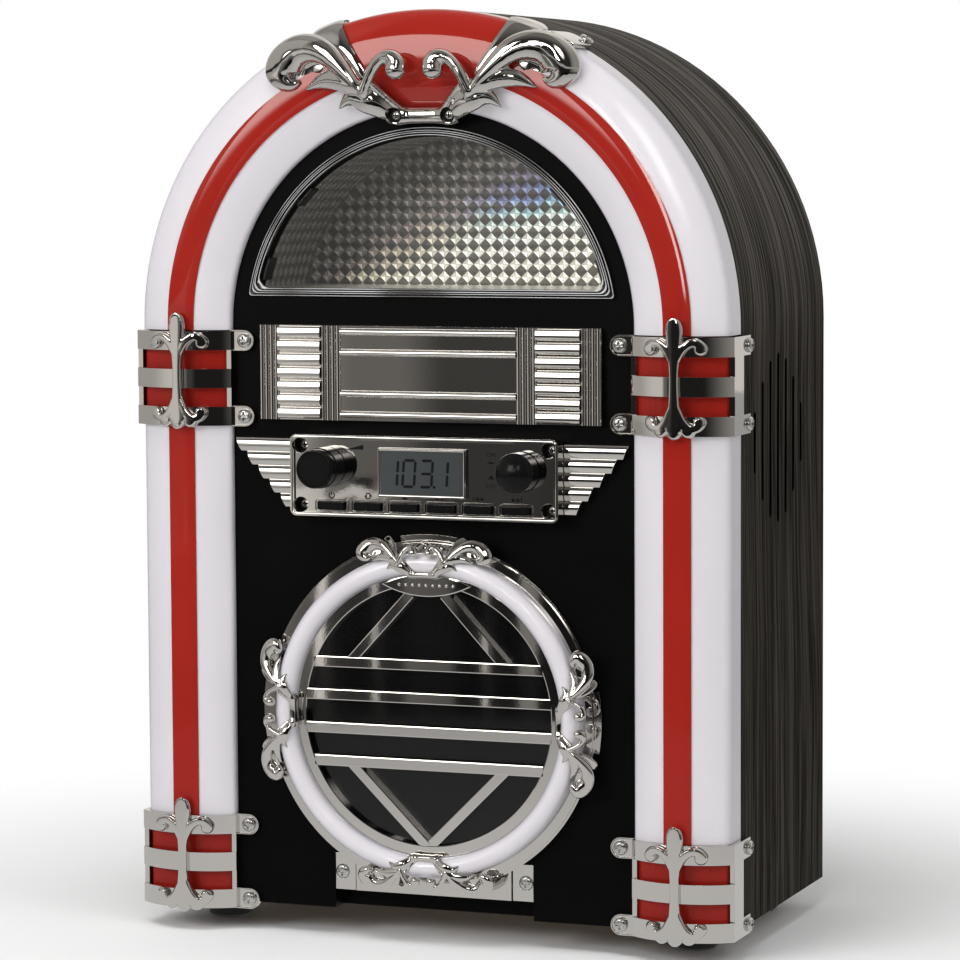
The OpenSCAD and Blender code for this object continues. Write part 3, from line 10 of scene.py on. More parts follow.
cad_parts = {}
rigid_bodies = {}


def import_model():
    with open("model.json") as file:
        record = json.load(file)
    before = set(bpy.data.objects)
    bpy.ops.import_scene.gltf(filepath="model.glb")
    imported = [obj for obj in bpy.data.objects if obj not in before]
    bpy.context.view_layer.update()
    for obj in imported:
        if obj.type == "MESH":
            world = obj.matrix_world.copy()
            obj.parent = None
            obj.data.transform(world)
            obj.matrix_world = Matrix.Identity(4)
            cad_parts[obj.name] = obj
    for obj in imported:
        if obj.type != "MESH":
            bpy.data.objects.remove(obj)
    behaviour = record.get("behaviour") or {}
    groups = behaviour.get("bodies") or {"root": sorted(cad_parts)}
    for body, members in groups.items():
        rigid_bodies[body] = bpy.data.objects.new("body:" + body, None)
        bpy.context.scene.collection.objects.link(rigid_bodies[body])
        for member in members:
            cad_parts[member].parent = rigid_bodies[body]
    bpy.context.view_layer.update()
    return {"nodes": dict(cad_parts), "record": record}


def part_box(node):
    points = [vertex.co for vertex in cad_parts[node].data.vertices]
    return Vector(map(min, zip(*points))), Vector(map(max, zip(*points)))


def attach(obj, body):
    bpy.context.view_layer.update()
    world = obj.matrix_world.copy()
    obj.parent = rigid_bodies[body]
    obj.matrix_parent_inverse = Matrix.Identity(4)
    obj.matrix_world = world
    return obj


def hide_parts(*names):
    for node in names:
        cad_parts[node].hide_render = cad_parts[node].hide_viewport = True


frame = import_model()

bl_info = {
    "name": "Mini CD Jukebox",
    "version": (1, 0, 0),
    "blender": (4, 5, 0),
    "location": "View3D > Sidebar > Jukebox",
    "description": "Dresses the solids of an arched CD jukebox with plated, lit and wooden finishes",
    "category": "Add Mesh",
}

MM = 0.001
WELD = 0.004 * MM
FINE_WELD = 0.002 * MM
NODES = frame["nodes"]
SLOT_OF = {part["node"]: part["material_slot"] for part in frame["record"]["subparts"]}
BODY_OF = {n: b for b, ns in frame["record"]["behaviour"]["bodies"].items() for n in ns}

# Places that the finer pieces share, read from the solids
FACE_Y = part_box("front_panel")[0].y
HALF_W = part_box("cabinet_shell")[1].x
ARCH_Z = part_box("cabinet_shell")[1].z - HALF_W
TUBE_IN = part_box("right_column_tube")[0].x
TUBE_W = HALF_W - TUBE_IN
TUBE_MID = TUBE_IN + TUBE_W / 2
RING_LOW, RING_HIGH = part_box("door_light_ring")
DOOR_Z = (RING_LOW.z + RING_HIGH.z) / 2
CROWN_HALF = math.radians(17.5)

# Directions, and the turn that stands a flat drawing up against the panel
ORIGIN = Vector((0, 0, 0))
FORWARD = Vector((0, -1, 0))
UPWARD = Vector((0, 0, 1))
UPRIGHT = Matrix.Rotation(math.pi / 2, 4, "X")
SIDES = (-1, 1)
FULL_TURN = 2 * math.pi
QUARTER_TURN = math.pi / 2


def at(x, forward, z):
    """A point in the part's frame from its distance in front of the panel."""
    return Vector((x, FACE_Y - forward, z))


def spread(first, last, count):
    """Values from first to last in a count of equal steps."""
    return [first + (last - first) * i / count for i in range(count + 1)]


def round_turn(count):
    """Angles of a count of points round a circle."""
    return spread(0, FULL_TURN, count)[:-1]


def arc(centre, radius, angles):
    """Points of a circle, by angles from its first axis."""
    return [(centre[0] + radius * math.cos(a), centre[1] + radius * math.sin(a)) for a in angles]


def bow(centre, radius, angles):
    """Points of a circle, by angles from upright."""
    return [(centre[0] + radius * math.sin(a), centre[1] + radius * math.cos(a)) for a in angles]


# Node trees


class Socket:
    """A node's output that takes part in Python expressions."""

    def __init__(self, tree, out):
        self.tree = tree
        self.out = out

    def math(self, operation, *others):
        return self.tree.node("ShaderNodeMath", {"operation": operation}, [self, *others])

    def __add__(self, other):
        return self.math("ADD", other)

    __radd__ = __add__

    def __mul__(self, other):
        return self.math("MULTIPLY", other)

    __rmul__ = __mul__

    def __sub__(self, other):
        return self.math("SUBTRACT", other)

    def __rsub__(self, other):
        return self.tree.node("ShaderNodeMath", {"operation": "SUBTRACT"}, [other, self])

    def __truediv__(self, other):
        return self.math("DIVIDE", other)

    def __pow__(self, other):
        return self.math("POWER", other)

    def __abs__(self):
        return self.math("ABSOLUTE")

    def __gt__(self, other):
        return self.math("GREATER_THAN", other)

    def __lt__(self, other):
        return self.math("LESS_THAN", other)

    def smooth(self, low, high):
        """0 below low, 1 above high and a soft step between."""
        return self.tree.node(
            "ShaderNodeMapRange", {"interpolation_type": "SMOOTHSTEP"}, [self, low, high, 0.0, 1.0]
        )


class Tree:
    """Writes nodes into a shader or geometry tree."""

    def __init__(self, tree):
        self.tree = tree

    def feed(self, socket, value):
        if isinstance(value, Socket):
            self.tree.links.new(value.out, socket)
        else:
            socket.default_value = value

    def node(self, kind, settings=None, inputs=(), out=0):
        made = self.tree.nodes.new(kind)
        for key, value in (settings or {}).items():
            setattr(made, key, value)
        pairs = inputs.items() if isinstance(inputs, dict) else enumerate(inputs)
        for key, value in pairs:
            self.feed(made.inputs[key], value)
        return Socket(self, made.outputs[out])

    def place(self):
        return self.node("ShaderNodeTexCoord", out="Object")

    def xyz(self, vector=None):
        outs = self.node("ShaderNodeSeparateXYZ", None, [vector or self.place()]).out.node.outputs
        return [Socket(self, outs[i]) for i in range(3)]

    def vector(self, x, y, z):
        return self.node("ShaderNodeCombineXYZ", None, [x, y, z])

    def noise(self, vector, scale, detail, rough=0.5):
        settings = {"Vector": vector, "Scale": scale, "Detail": detail, "Roughness": rough}
        return self.node("ShaderNodeTexNoise", None, settings)


class Finish(Tree):
    """A material round one principled shader."""

    INPUTS = {
        "base": "Base Color", "rough": "Roughness", "metal": "Metallic", "coat": "Coat Weight",
        "coat_rough": "Coat Roughness", "glow": "Emission Color", "glow_strength": "Emission Strength",
        "normal": "Normal", "specular": "Specular IOR Level",
    }

    def __init__(self, name, **constants):
        self.material = bpy.data.materials.new(name)
        self.material.use_nodes = True
        super().__init__(self.material.node_tree)
        self.shader = self.tree.nodes["Principled BSDF"]
        self.output = self.tree.nodes["Material Output"]
        self.set(**constants)

    def set(self, **values):
        for key, value in values.items():
            if key in ("base", "glow") and not isinstance(value, Socket):
                value = (*value[:3], 1)
            self.feed(self.shader.inputs[self.INPUTS[key]], value)

    def blend(self, factor, a, b):
        """Colour a where the factor is 0, colour b where it is 1."""
        first, second = (c if isinstance(c, Socket) else (*c[:3], 1) for c in (a, b))
        return self.node("ShaderNodeMix", {"data_type": "RGBA"}, {0: factor, 6: first, 7: second}, out=2)

    def ramp(self, factor, stops):
        """Colours along a factor, from stops of position and colour."""
        made = self.node("ShaderNodeValToRGB", None, [factor])
        elements = made.out.node.color_ramp.elements
        while len(elements) < len(stops):
            elements.new(0.5)
        for element, (position, colour) in zip(elements, stops):
            element.position = position
            element.color = (*colour, 1)
        return made

    def bump(self, height, distance, strength):
        settings = {"Height": height, "Distance": distance, "Strength": strength}
        return self.node("ShaderNodeBump", None, settings)

    def mix_shaders(self, factor, first, second):
        return self.node("ShaderNodeMixShader", None, {0: factor, 1: first, 2: second})

    def show(self, shader):
        """Makes a shader the one that the material shows."""
        self.feed(self.output.inputs["Surface"], shader)

    def own_shader(self):
        return Socket(self, self.shader.outputs[0])


# Finishes


def scaled(colour, k):
    return tuple(c * k for c in colour)


def grained(name, grain, dark, pale, rough, relief=None, **constants):
    """Plain finish of one grain, given by scale and detail: it mottles the colour and the roughness, given by
    its least value and its spread, and raises the surface where a depth and a strength are given."""
    f = Finish(name, **constants)
    mottle = f.noise(f.place(), *grain)
    least, more = rough
    f.set(base=f.blend(mottle, dark, pale), rough=least + mottle * more)
    if relief:
        f.set(normal=f.bump(mottle, *relief))
    return f.material


def see_through(name, tint, smear, rough, edge, seen):
    """Clear finish with smears in its gloss, which shows more of itself at a glancing angle."""
    f = Finish(name, base=tint)
    f.set(rough=rough[0] + f.noise(f.place(), smear, 3) * rough[1])
    facing = f.node("ShaderNodeLayerWeight", None, {"Blend": edge}, out="Fresnel")
    clear = f.node("ShaderNodeBsdfTransparent")
    f.show(f.mix_shaders(facing * seen[1] + seen[0], clear, f.own_shader()))
    return f.material


def chrome_plate(c):
    f = Finish("chrome_plate", metal=1.0)
    cloud = f.noise(f.place(), 45, 3)
    speck = f.noise(f.place(), 700, 2)
    f.set(
        base=f.blend(cloud, scaled(c.chrome, 0.93), c.chrome),
        rough=0.015 + cloud * 0.035,
        normal=f.bump(speck, 0.02 * MM, 0.1),
    )
    return f.material


def screw_steel(c):
    return grained("zinc_steel", (1500, 3), (0.5, 0.5, 0.49), (0.74, 0.74, 0.73), (0.16, 0.16), metal=1.0)


def satin_metal(c):
    return grained("satin_metal", (400, 4), (0.36, 0.36, 0.34), (0.52, 0.52, 0.5), (0.32, 0.15), metal=1.0)


def ash_veneer(c):
    """Dark open-pored veneer whose grain climbs the sides and follows the arch, painted paler on the arch as
    light from above, with painted shade inside the vent slots.
    """
    f = Finish("ash_veneer", specular=0.035)
    x, y, z = f.xyz()
    rise = (z - ARCH_Z).math("MAXIMUM", 0.0)
    along = z.math("MINIMUM", ARCH_Z) + rise.math("ARCTAN2", abs(x)) * HALF_W
    drift = f.noise(f.vector(y * 7, along * 3.4, x * 3), 1.0, 2)
    across = y + drift * 0.03
    lines = f.noise(f.vector(across * 380, along * 3.2, x * 2), 1.0, 4, 0.58)
    pores = f.noise(f.vector(across * 680, along * 13, x * 5), 1.0, 2, 0.5)
    bands = f.noise(f.vector(across * 62, along * 2.4, x * 2), 1.0, 3, 0.55)
    dark_pore = 1 - pores.smooth(0.38, 0.52)
    tone = (lines * 0.8 + bands * 0.32).smooth(0.44, 0.66)
    colour = f.blend(tone, scaled(c.wood, 0.16), scaled(c.wood, 2.0))
    # Painted light: the grain turns paler on the arch, where light from above falls
    painted_arch_light = z.smooth(ARCH_Z - 0.03, ARCH_Z + 0.07)
    colour = f.blend(painted_arch_light * tone * 0.9, colour, (0.112, 0.103, 0.092))
    colour = f.blend(dark_pore * 0.72, colour, scaled(c.wood, 0.16))
    low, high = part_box("cabinet_shell")
    wall_end = 9 * MM
    # Painted shade: the walls inside the vent slots are painted near-black, as the shade that falls in them
    inside = (HALF_W - abs(x)).smooth(0.08 * MM, 0.3 * MM) * (z < ARCH_Z - 4 * MM)
    painted_vent_shade = inside * (y > low.y + wall_end) * (y < high.y - wall_end)
    f.set(
        base=f.blend(painted_vent_shade, colour, scaled(c.wood, 0.04)),
        rough=0.55 + dark_pore * 0.2,
        normal=f.bump(lines * 0.4 + (1 - dark_pore) * 0.6, 0.3 * MM, 0.5),
    )
    return f.material


def raw_board(c):
    f = Finish("raw_board", rough=0.75)
    x, y, z = f.xyz()
    grain = f.noise(f.vector(x * 14, y * 240, z * 300), 1.0, 4)
    f.set(
        base=f.blend(grain, (0.12, 0.085, 0.055), (0.24, 0.17, 0.11)), normal=f.bump(grain, 0.3 * MM, 0.4)
    )
    return f.material


def hardboard(c):
    dark, pale = (0.012, 0.0115, 0.011), (0.034, 0.032, 0.03)
    return grained("black_hardboard", (420, 5, 0.7), dark, pale, (0.55, 0.2), (0.3 * MM, 0.35))


def foot_rubber(c):
    return grained("foot_rubber", (900, 3), (0.008, 0.008, 0.008), (0.02, 0.02, 0.02), (0.7, 0.15))


def black_moulding(c):
    """Fine-grained black panel."""
    f = Finish("black_moulding", specular=0.035)
    grain = f.noise(f.place(), 2200, 2)
    cloud = f.noise(f.place(), 22, 3)
    f.set(
        base=f.blend(cloud, scaled(c.panel, 0.75), scaled(c.panel, 1.25)),
        rough=0.34 + cloud * 0.1,
        normal=f.bump(grain, 0.06 * MM, 0.3),
    )
    return f.material


def black_plastic(c):
    dark, pale = (0.004, 0.004, 0.004), (0.01, 0.01, 0.01)
    return grained("black_plastic", (1400, 2), dark, pale, (0.42, 0.16), (0.08 * MM, 0.3), specular=0.2)


def knob_plastic(c):
    dark, pale = (0.003, 0.003, 0.003), (0.006, 0.006, 0.006)
    return grained("knob_plastic", (1100, 2), dark, pale, (0.17, 0.06), (0.02 * MM, 0.15), specular=0.14)


def milky_tube(c):
    """Milk-white moulding that carries light, with painted shade that darkens and cools it where it turns
    away from the view, and a faint painted glow of its own colour.
    """
    f = Finish("milky_tube", coat=0.5, coat_rough=0.05, glow_strength=0.04)
    cloud = f.noise(f.place(), 16, 3)
    fine = f.noise(f.place(), 260, 2)
    # Painted shade: darker and cooler where the face turns away from the view
    turned = f.node("ShaderNodeLayerWeight", None, {"Blend": 0.5}, out="Facing")
    deep = tuple(tone * k for tone, k in zip(c.milk, (0.58, 0.58, 0.64)))
    tint = f.blend(cloud, scaled(c.milk, 0.965), c.milk)
    tint = f.blend(turned.smooth(0.12, 0.75) * 0.55, tint, deep)
    # Painted glow: the tube glows faintly in its own colour
    f.set(base=tint, rough=0.2 + fine * 0.08, glow=tint, normal=f.bump(cloud, 0.6 * MM, 0.12))
    return f.material


def red_tube(c):
    """Clear red moulding over a pale core, with a faint painted glow of its own colour."""
    f = Finish("red_tube", coat_rough=0.03, glow_strength=0.04, specular=0.05)
    _, _, z = f.xyz()
    cloud = f.noise(f.place(), 24, 3)
    fine = f.noise(f.place(), 300, 2)
    tint = f.blend(cloud, scaled(c.red, 0.86), scaled(c.red, 1.1))
    f.set(
        base=tint,
        rough=0.16 + fine * 0.08,
        coat=0.25 + z.smooth(ARCH_Z - 0.01, ARCH_Z + 0.03) * 0.75,
        # Painted glow: the moulding glows faintly in its own colour
        glow=tint,
        normal=f.bump(cloud, 0.5 * MM, 0.1),
    )
    return f.material


def clear_pane(c):
    return see_through("clear_pane", (0.01, 0.01, 0.01), 30, (0.02, 0.04), 0.22, (0.02, 0.5))


def smoked_pane(c):
    return see_through("smoked_pane", (0.004, 0.004, 0.004), 26, (0.04, 0.05), 0.25, (0.72, 0.25))


def rim_plastic(c):
    """Clear ridged rim seen over black: dark body, bright edges."""
    dark, pale = (0.006, 0.006, 0.007), (0.018, 0.018, 0.019)
    return grained("rim_plastic", (80, 2), dark, pale, (0.08, 0.06), coat=1.0, coat_rough=0.03, specular=0.9)


def tab_plastic(c):
    """Smoky tabs of the pane, seen against the tray's wall."""
    dark, pale = (0.03, 0.03, 0.03), (0.045, 0.045, 0.044)
    return grained("tab_plastic", (900, 2), dark, pale, (0.5, 0.15), specular=0.2)


def rim_edge(c):
    """Edges of clear plastic with painted highlights: their colour turns pale in patches along them."""
    f = Finish("rim_edge", coat=1.0, coat_rough=0.03)
    # Painted highlights: pale patches along the edges
    painted_glint = f.noise(f.place(), 18, 2).smooth(0.38, 0.62)
    f.set(base=f.blend(painted_glint, (0.1, 0.1, 0.1), (0.62, 0.62, 0.62)), rough=0.3 - painted_glint * 0.15)
    return f.material


# Painted light on the prismatic sheet: colours of its painted reflections from its brightly lit foot to its
# dull head, on its left and on its right
GOLD_STOPS = [
    (0.0, (0.95, 0.92, 0.82)), (0.3, (0.93, 0.9, 0.8)), (0.46, (0.74, 0.68, 0.52)),
    (0.58, (0.46, 0.37, 0.34)), (0.7, (0.3, 0.28, 0.27)), (0.82, (0.27, 0.25, 0.22)),
    (1.0, (0.2, 0.19, 0.17)),
]
BLUE_STOPS = [
    (0.0, (0.95, 0.92, 0.8)), (0.2, (0.98, 0.96, 0.88)), (0.34, (0.84, 0.95, 0.86)),
    (0.44, (0.5, 0.82, 0.85)), (0.54, (0.3, 0.42, 0.85)), (0.64, (0.33, 0.27, 0.42)),
    (0.76, (0.28, 0.26, 0.23)), (1.0, (0.2, 0.19, 0.17)),
]


def prism_sheet(c):
    """Silvered lattice of bow ties with painted light: its facets are painted bright and dim, and their
    painted reflections break into colour and glow, lit at the foot and dull at the head; reads the lining's
    map in tiles.
    """
    f = Finish("prism_sheet", metal=0.35)
    u, v, _ = f.xyz(f.node("ShaderNodeUVMap", {"uv_map": "tiles"}))
    x, y, z = f.xyz()
    a = u.math("FRACT") * 2 - 1
    b = v.math("FRACT") * 2 - 1
    reach = abs(a) ** 0.92 + abs(b) ** 0.92
    star = 1 - reach.smooth(0.9, 1.06)
    # Painted shade: two facets of each bow tie are painted dimmer than the other two
    facet_shade = (a * b).smooth(-0.03, 0.03)
    seam = (abs(a).math("MINIMUM", abs(b)) * 9).math("MINIMUM", 1.0)
    tile = f.vector(u.math("FLOOR"), v.math("FLOOR"), 0.0)
    cell = f.node("ShaderNodeTexWhiteNoise", {"noise_dimensions": "2D"}, [tile], out="Value")
    # Painted light: a cloud that shifts how brightly the sheet is painted lit
    painted_sheen = f.noise(f.place(), 26, 2)
    sweep = 0.057 - x
    # Painted light: the sheet is painted brightest at its foot near its right-hand side, and dull towards its
    # head
    level = (z - ARCH_Z) * 14.3 + sweep * sweep * 42.9 + cell * 0.1 + painted_sheen * 0.16 - 0.47
    painted_lit = 1 - level.smooth(0.2, 0.66)
    painted_rainbow = f.blend(x.smooth(-0.02, 0.025), f.ramp(level, GOLD_STOPS), f.ramp(level, BLUE_STOPS))
    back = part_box("prism_foil")[1].y
    # Painted shade: the sheet on the side walls is painted dimmer than on the back
    lit_back_wall = y > back - 2 * MM
    # Painted shade: a dark band on the walls at the corner where they meet the back
    crease = (back - y).smooth(0.5 * MM, 0.9 * MM) * (1 - (back - y).smooth(1.9 * MM, 2.6 * MM))
    strength = star * (0.5 + facet_shade * 0.5) * (0.45 + seam * 0.55)
    strength = strength * (0.46 + painted_lit * 0.54) * (0.62 + lit_back_wall * 0.38) * (1 - crease)
    ground = f.blend(painted_lit, (0.075, 0.074, 0.068), (0.125, 0.122, 0.105))
    ground = f.blend(crease * 0.85, ground, (0.01, 0.01, 0.01))
    # Painted glow: the painted reflections glow on their own
    f.set(
        base=f.blend(strength, ground, painted_rainbow),
        rough=0.38 - star * 0.12,
        glow=f.blend(strength, (0.04, 0.039, 0.036), painted_rainbow),
        glow_strength=0.7,
        normal=f.bump(reach, 0.3 * MM, 0.4),
    )
    return f.material


def lcd_glass(c):
    f = Finish("lcd_glass", coat=0.6, coat_rough=0.05)
    x, _, _ = f.xyz()
    low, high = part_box("lcd_panel")
    fade = (x - low.x) / (high.x - low.x)
    mottle = f.noise(f.place(), 500, 2)
    f.set(
        base=f.blend(fade * 0.8 + mottle * 0.2, scaled(c.lcd, 1.12), scaled(c.lcd, 0.86)),
        rough=0.35 + mottle * 0.1,
    )
    return f.material


def printed_ink(c):
    dark, pale = (0.003, 0.003, 0.004), (0.008, 0.008, 0.01)
    return grained("printed_ink", (1800, 2), dark, pale, (0.5, 0.0), specular=0.1)


def circuit_board(c):
    f = Finish("circuit_board")
    tracks = f.node(
        "ShaderNodeTexBrick", {"offset": 0.5},
        {"Vector": f.place(), "Scale": 160.0, "Mortar Size": 0.02, "Color1": (0.02, 0.1, 0.04, 1),
         "Color2": (0.025, 0.12, 0.05, 1), "Mortar": (0.06, 0.2, 0.09, 1)},
    )
    grain = f.noise(f.place(), 700, 2)
    f.set(base=tracks, rough=0.32 + grain * 0.2)
    return f.material


def iron_core(c):
    f = Finish("iron_core", metal=0.6)
    x, y, z = f.xyz()
    sheets = f.noise(f.vector(x * 20, y * 1400, z * 20), 1.0, 2)
    f.set(base=f.blend(sheets, (0.09, 0.07, 0.05), (0.2, 0.16, 0.11)), rough=0.45 + sheets * 0.2)
    return f.material


RECIPES = {
    "chrome": chrome_plate, "screw_steel": screw_steel, "pot_metal": satin_metal, "wood": ash_veneer,
    "raw_wood": raw_board, "back_board": hardboard, "foot_rubber": foot_rubber, "black_gloss": black_moulding,
    "black_plastic": black_plastic, "knob_black": knob_plastic, "button_black": knob_plastic,
    "white_tube": milky_tube, "red_tube": red_tube, "clear": clear_pane, "smoked": smoked_pane,
    "rim": rim_plastic, "rim_edge": rim_edge, "tab": tab_plastic, "prism": prism_sheet, "lcd": lcd_glass,
    "ink": printed_ink, "board": circuit_board, "core_steel": iron_core,
}
# Finishes made so far, one for each recipe
made_finishes = {}


def finish(slot):
    """The material of a slot, made once."""
    recipe = RECIPES[slot]
    if recipe not in made_finishes:
        made_finishes[recipe] = recipe(bpy.context.scene.jukebox_colours)
    return made_finishes[recipe]


def paint(*nodes):
    """Gives carried-over solids the finish of their own slot."""
    for name in nodes:
        mesh = NODES[name].data
        mesh.materials.clear()
        mesh.materials.append(finish(SLOT_OF[name]))


# Meshes and objects


def link(name, data):
    made = bpy.data.objects.new(name, data)
    bpy.context.scene.collection.objects.link(made)
    return made


def raw_mesh(bm, name):
    """The drawn faces as a mesh, as they are."""
    mesh = bpy.data.meshes.new(name)
    bm.to_mesh(mesh)
    bm.free()
    return mesh


def mesh_from(bm, name):
    """The drawn faces as a mesh, turned outwards."""
    bmesh.ops.recalc_face_normals(bm, faces=bm.faces)
    return raw_mesh(bm, name)


def drawn(bm, name):
    """An object of the drawn faces, turned outwards."""
    return link(name, mesh_from(bm, name))


def solid_of(node):
    """The faces of a solid, with its corners joined."""
    bm = bmesh.new()
    bm.from_mesh(NODES[node].data)
    bmesh.ops.remove_doubles(bm, verts=bm.verts, dist=WELD)
    return bm


def evaluated(made):
    """Plain mesh of an object, with its curves and modifiers worked out."""
    graph = bpy.context.evaluated_depsgraph_get()
    return bpy.data.meshes.new_from_object(made.evaluated_get(graph))


def plain(made):
    """Turns an object into its plain mesh, without modifiers."""
    mesh = evaluated(made)
    made.modifiers.clear()
    made.data = mesh
    return made


def smooth(mesh, crease):
    for face in mesh.polygons:
        face.use_smooth = True
    mesh.set_sharp_from_angle(angle=math.radians(crease))


def piece(made, slot, body="body", stands_for=(), crease=35):
    """Finishes a piece: its material, its smooth faces, its body and the solids that it stands for."""
    mesh = made.data
    if not mesh.materials:
        mesh.materials.append(finish(slot))
    if crease:
        smooth(mesh, crease)
    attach(made, body)
    if stands_for:
        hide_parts(*stands_for)


FLAT_WITHIN = math.radians(0.4)
BEVEL_FROM = math.radians(38)
ROUNDED_CREASE = 62


def rounded_copy(node, width, segments=2):
    """A copy of a solid with joined faces and rounded edges, which stands for it."""
    bm = solid_of(node)
    bmesh.ops.dissolve_limit(bm, angle_limit=FLAT_WITHIN, verts=bm.verts, edges=bm.edges)
    made = link(node + "_rounded", raw_mesh(bm, node + "_rounded"))
    bevel = made.modifiers.new("Edges", "BEVEL")
    bevel.width = width
    bevel.segments = segments
    bevel.limit_method = "ANGLE"
    bevel.angle_limit = BEVEL_FROM
    bevel.use_clamp_overlap = True
    bevel.loop_slide = False
    plain(made)
    smooth(made.data, ROUNDED_CREASE)
    even = made.modifiers.new("Flat Faces", "WEIGHTED_NORMAL")
    even.keep_sharp = True
    piece(plain(made), SLOT_OF[node], BODY_OF[node], [node], None)


def add_skin(bm, loops, ends="JOIN"):
    """Skin over loops of points, from each to the next; its ends are joined or capped."""
    rings = [[bm.verts.new(spot) for spot in loop] for loop in loops]
    after = rings[1:] + rings[:1] if ends == "JOIN" else rings[1:]
    for low, high in zip(rings, after):
        for k in range(len(low)):
            n = (k + 1) % len(low)
            bm.faces.new([low[k], low[n], high[n], high[k]])
    if ends == "CAP":
        bm.faces.new(rings[0])
        bm.faces.new(rings[-1])


def add_sheet(bm, rows):
    """Open sheet over rows of points, from each to the next."""
    rows = [[bm.verts.new(spot) for spot in row] for row in rows]
    for low, high in zip(rows, rows[1:]):
        for k in range(len(low) - 1):
            bm.faces.new([low[k], low[k + 1], high[k + 1], high[k]])


def add_prism(bm, outline, low, high):
    """Upright plate: an outline of x and z, from a height low to a height high in front of the panel."""
    add_skin(bm, [[at(x, forward, z) for x, z in outline] for forward in (low, high)], "CAP")


LEAST_CORNER = 0.2 * MM


def rounded_box(low, high, inset, corner):
    """Outline, in x and z, of a box drawn in by an inset, with round corners."""
    r = max(corner - inset, LEAST_CORNER)
    x0, x1, z0, z1 = low.x + inset + r, high.x - inset - r, low.z + inset + r, high.z - inset - r
    points = []
    for centre, start in (((x1, z1), 0), ((x0, z1), 1), ((x0, z0), 2), ((x1, z0), 3)):
        points += arc(centre, r, spread(start * QUARTER_TURN, (start + 1) * QUARTER_TURN, 6))
    return points


def add_lathe(bm, profile, centre, sides, axis=FORWARD):
    """Turned body: a profile of radius and distance along the axis."""
    turn = axis.to_track_quat("Z", "Y").to_matrix()
    rings = []
    for radius, along in profile:
        spots = arc((0, 0), radius, round_turn(sides if radius else 1))
        rings.append([bm.verts.new(centre + turn @ Vector((x, y, along))) for x, y in spots])
    for low, high in zip(rings, rings[1:]):
        for k in range(sides):
            n = (k + 1) % sides
            corners = [low[k % len(low)], low[n % len(low)], high[n % len(high)], high[k % len(high)]]
            corners = list(dict.fromkeys(corners))
            if len(corners) > 2:
                bm.faces.new(corners)


def spline_rows(rows, steps):
    """Catmull-Rom rows between control rows."""
    made = []
    for i in range(len(rows) - 1):
        a, b, c, d = (Vector(rows[min(max(i + k, 0), len(rows) - 1)]) for k in (-1, 0, 1, 2))
        for k in range(steps):
            t = k / steps
            made.append(0.5 * (2 * b + (c - a) * t + (2 * a - 5 * b + 4 * c - d) * t ** 2
                               + (3 * b - a - 3 * c + d) * t ** 3))
    made.append(Vector(rows[-1]))
    return made


def add_swept(bm, rows, sides, steps, ridge=0.0, mirrored=False, box=1.0):
    """Closed bar along a smooth curve of rows: across, up, forward, half width and half thickness, in
    millimetres. A ridge of 1 has a sharp crest; a box below 1 has a flat face."""
    rows = spline_rows(rows, steps)
    sign = -1 if mirrored else 1
    loops = []
    for i, (across, up, forward, half_wide, half_thick) in enumerate(rows):
        before, after = rows[max(i - 1, 0)], rows[min(i + 1, len(rows) - 1)]
        run = Vector((after[0] - before[0], after[1] - before[1])).normalized()
        loop = []
        for t in round_turn(sides):
            wide = math.copysign(abs(math.cos(t)) ** box, math.cos(t)) * half_wide
            lift = math.copysign(abs(math.sin(t)) ** box, math.sin(t))
            lift = lift * (1 - ridge) + ridge * math.copysign(1 - abs(math.cos(t)), math.sin(t))
            loop.append((sign * (across - run.y * wide), up + run.x * wide, forward + half_thick * lift))
        loops.append(loop)
    add_skin(bm, loops, "CAP")


def add_ball(bm, centre, radius, squash, mirrored=False):
    spot = Vector((-centre[0] if mirrored else centre[0], centre[1], centre[2]))
    bmesh.ops.create_uvsphere(
        bm, u_segments=20, v_segments=12, radius=radius,
        matrix=Matrix.Translation(spot) @ Matrix.Diagonal((1, 1, squash, 1)),
    )


def cast(bm, name, voxel, rounds):
    """Melts overlapping closed parts, drawn in millimetres, into one smooth casting."""
    made = drawn(bm, name)
    melt = made.modifiers.new("Melt", "REMESH")
    melt.mode = "VOXEL"
    melt.voxel_size = voxel
    soften = made.modifiers.new("Soften", "SMOOTH")
    soften.factor = 0.5
    soften.iterations = rounds
    mesh = evaluated(made)
    bpy.data.objects.remove(made)
    return mesh


def placed(mesh, matrix):
    """A copy of a mesh in millimetres, carried to its place in metres."""
    made = mesh.copy()
    made.transform(matrix @ Matrix.Scale(MM, 4))
    return made


def cut_out(made, tool, self_cut=False):
    """Takes a tool's solid out of an object, and removes the tool."""
    cut = made.modifiers.new("Cut", "BOOLEAN")
    cut.object = tool
    cut.operation = "DIFFERENCE"
    cut.solver = "EXACT"
    cut.use_self = self_cut
    plain(made)
    bpy.data.objects.remove(tool)


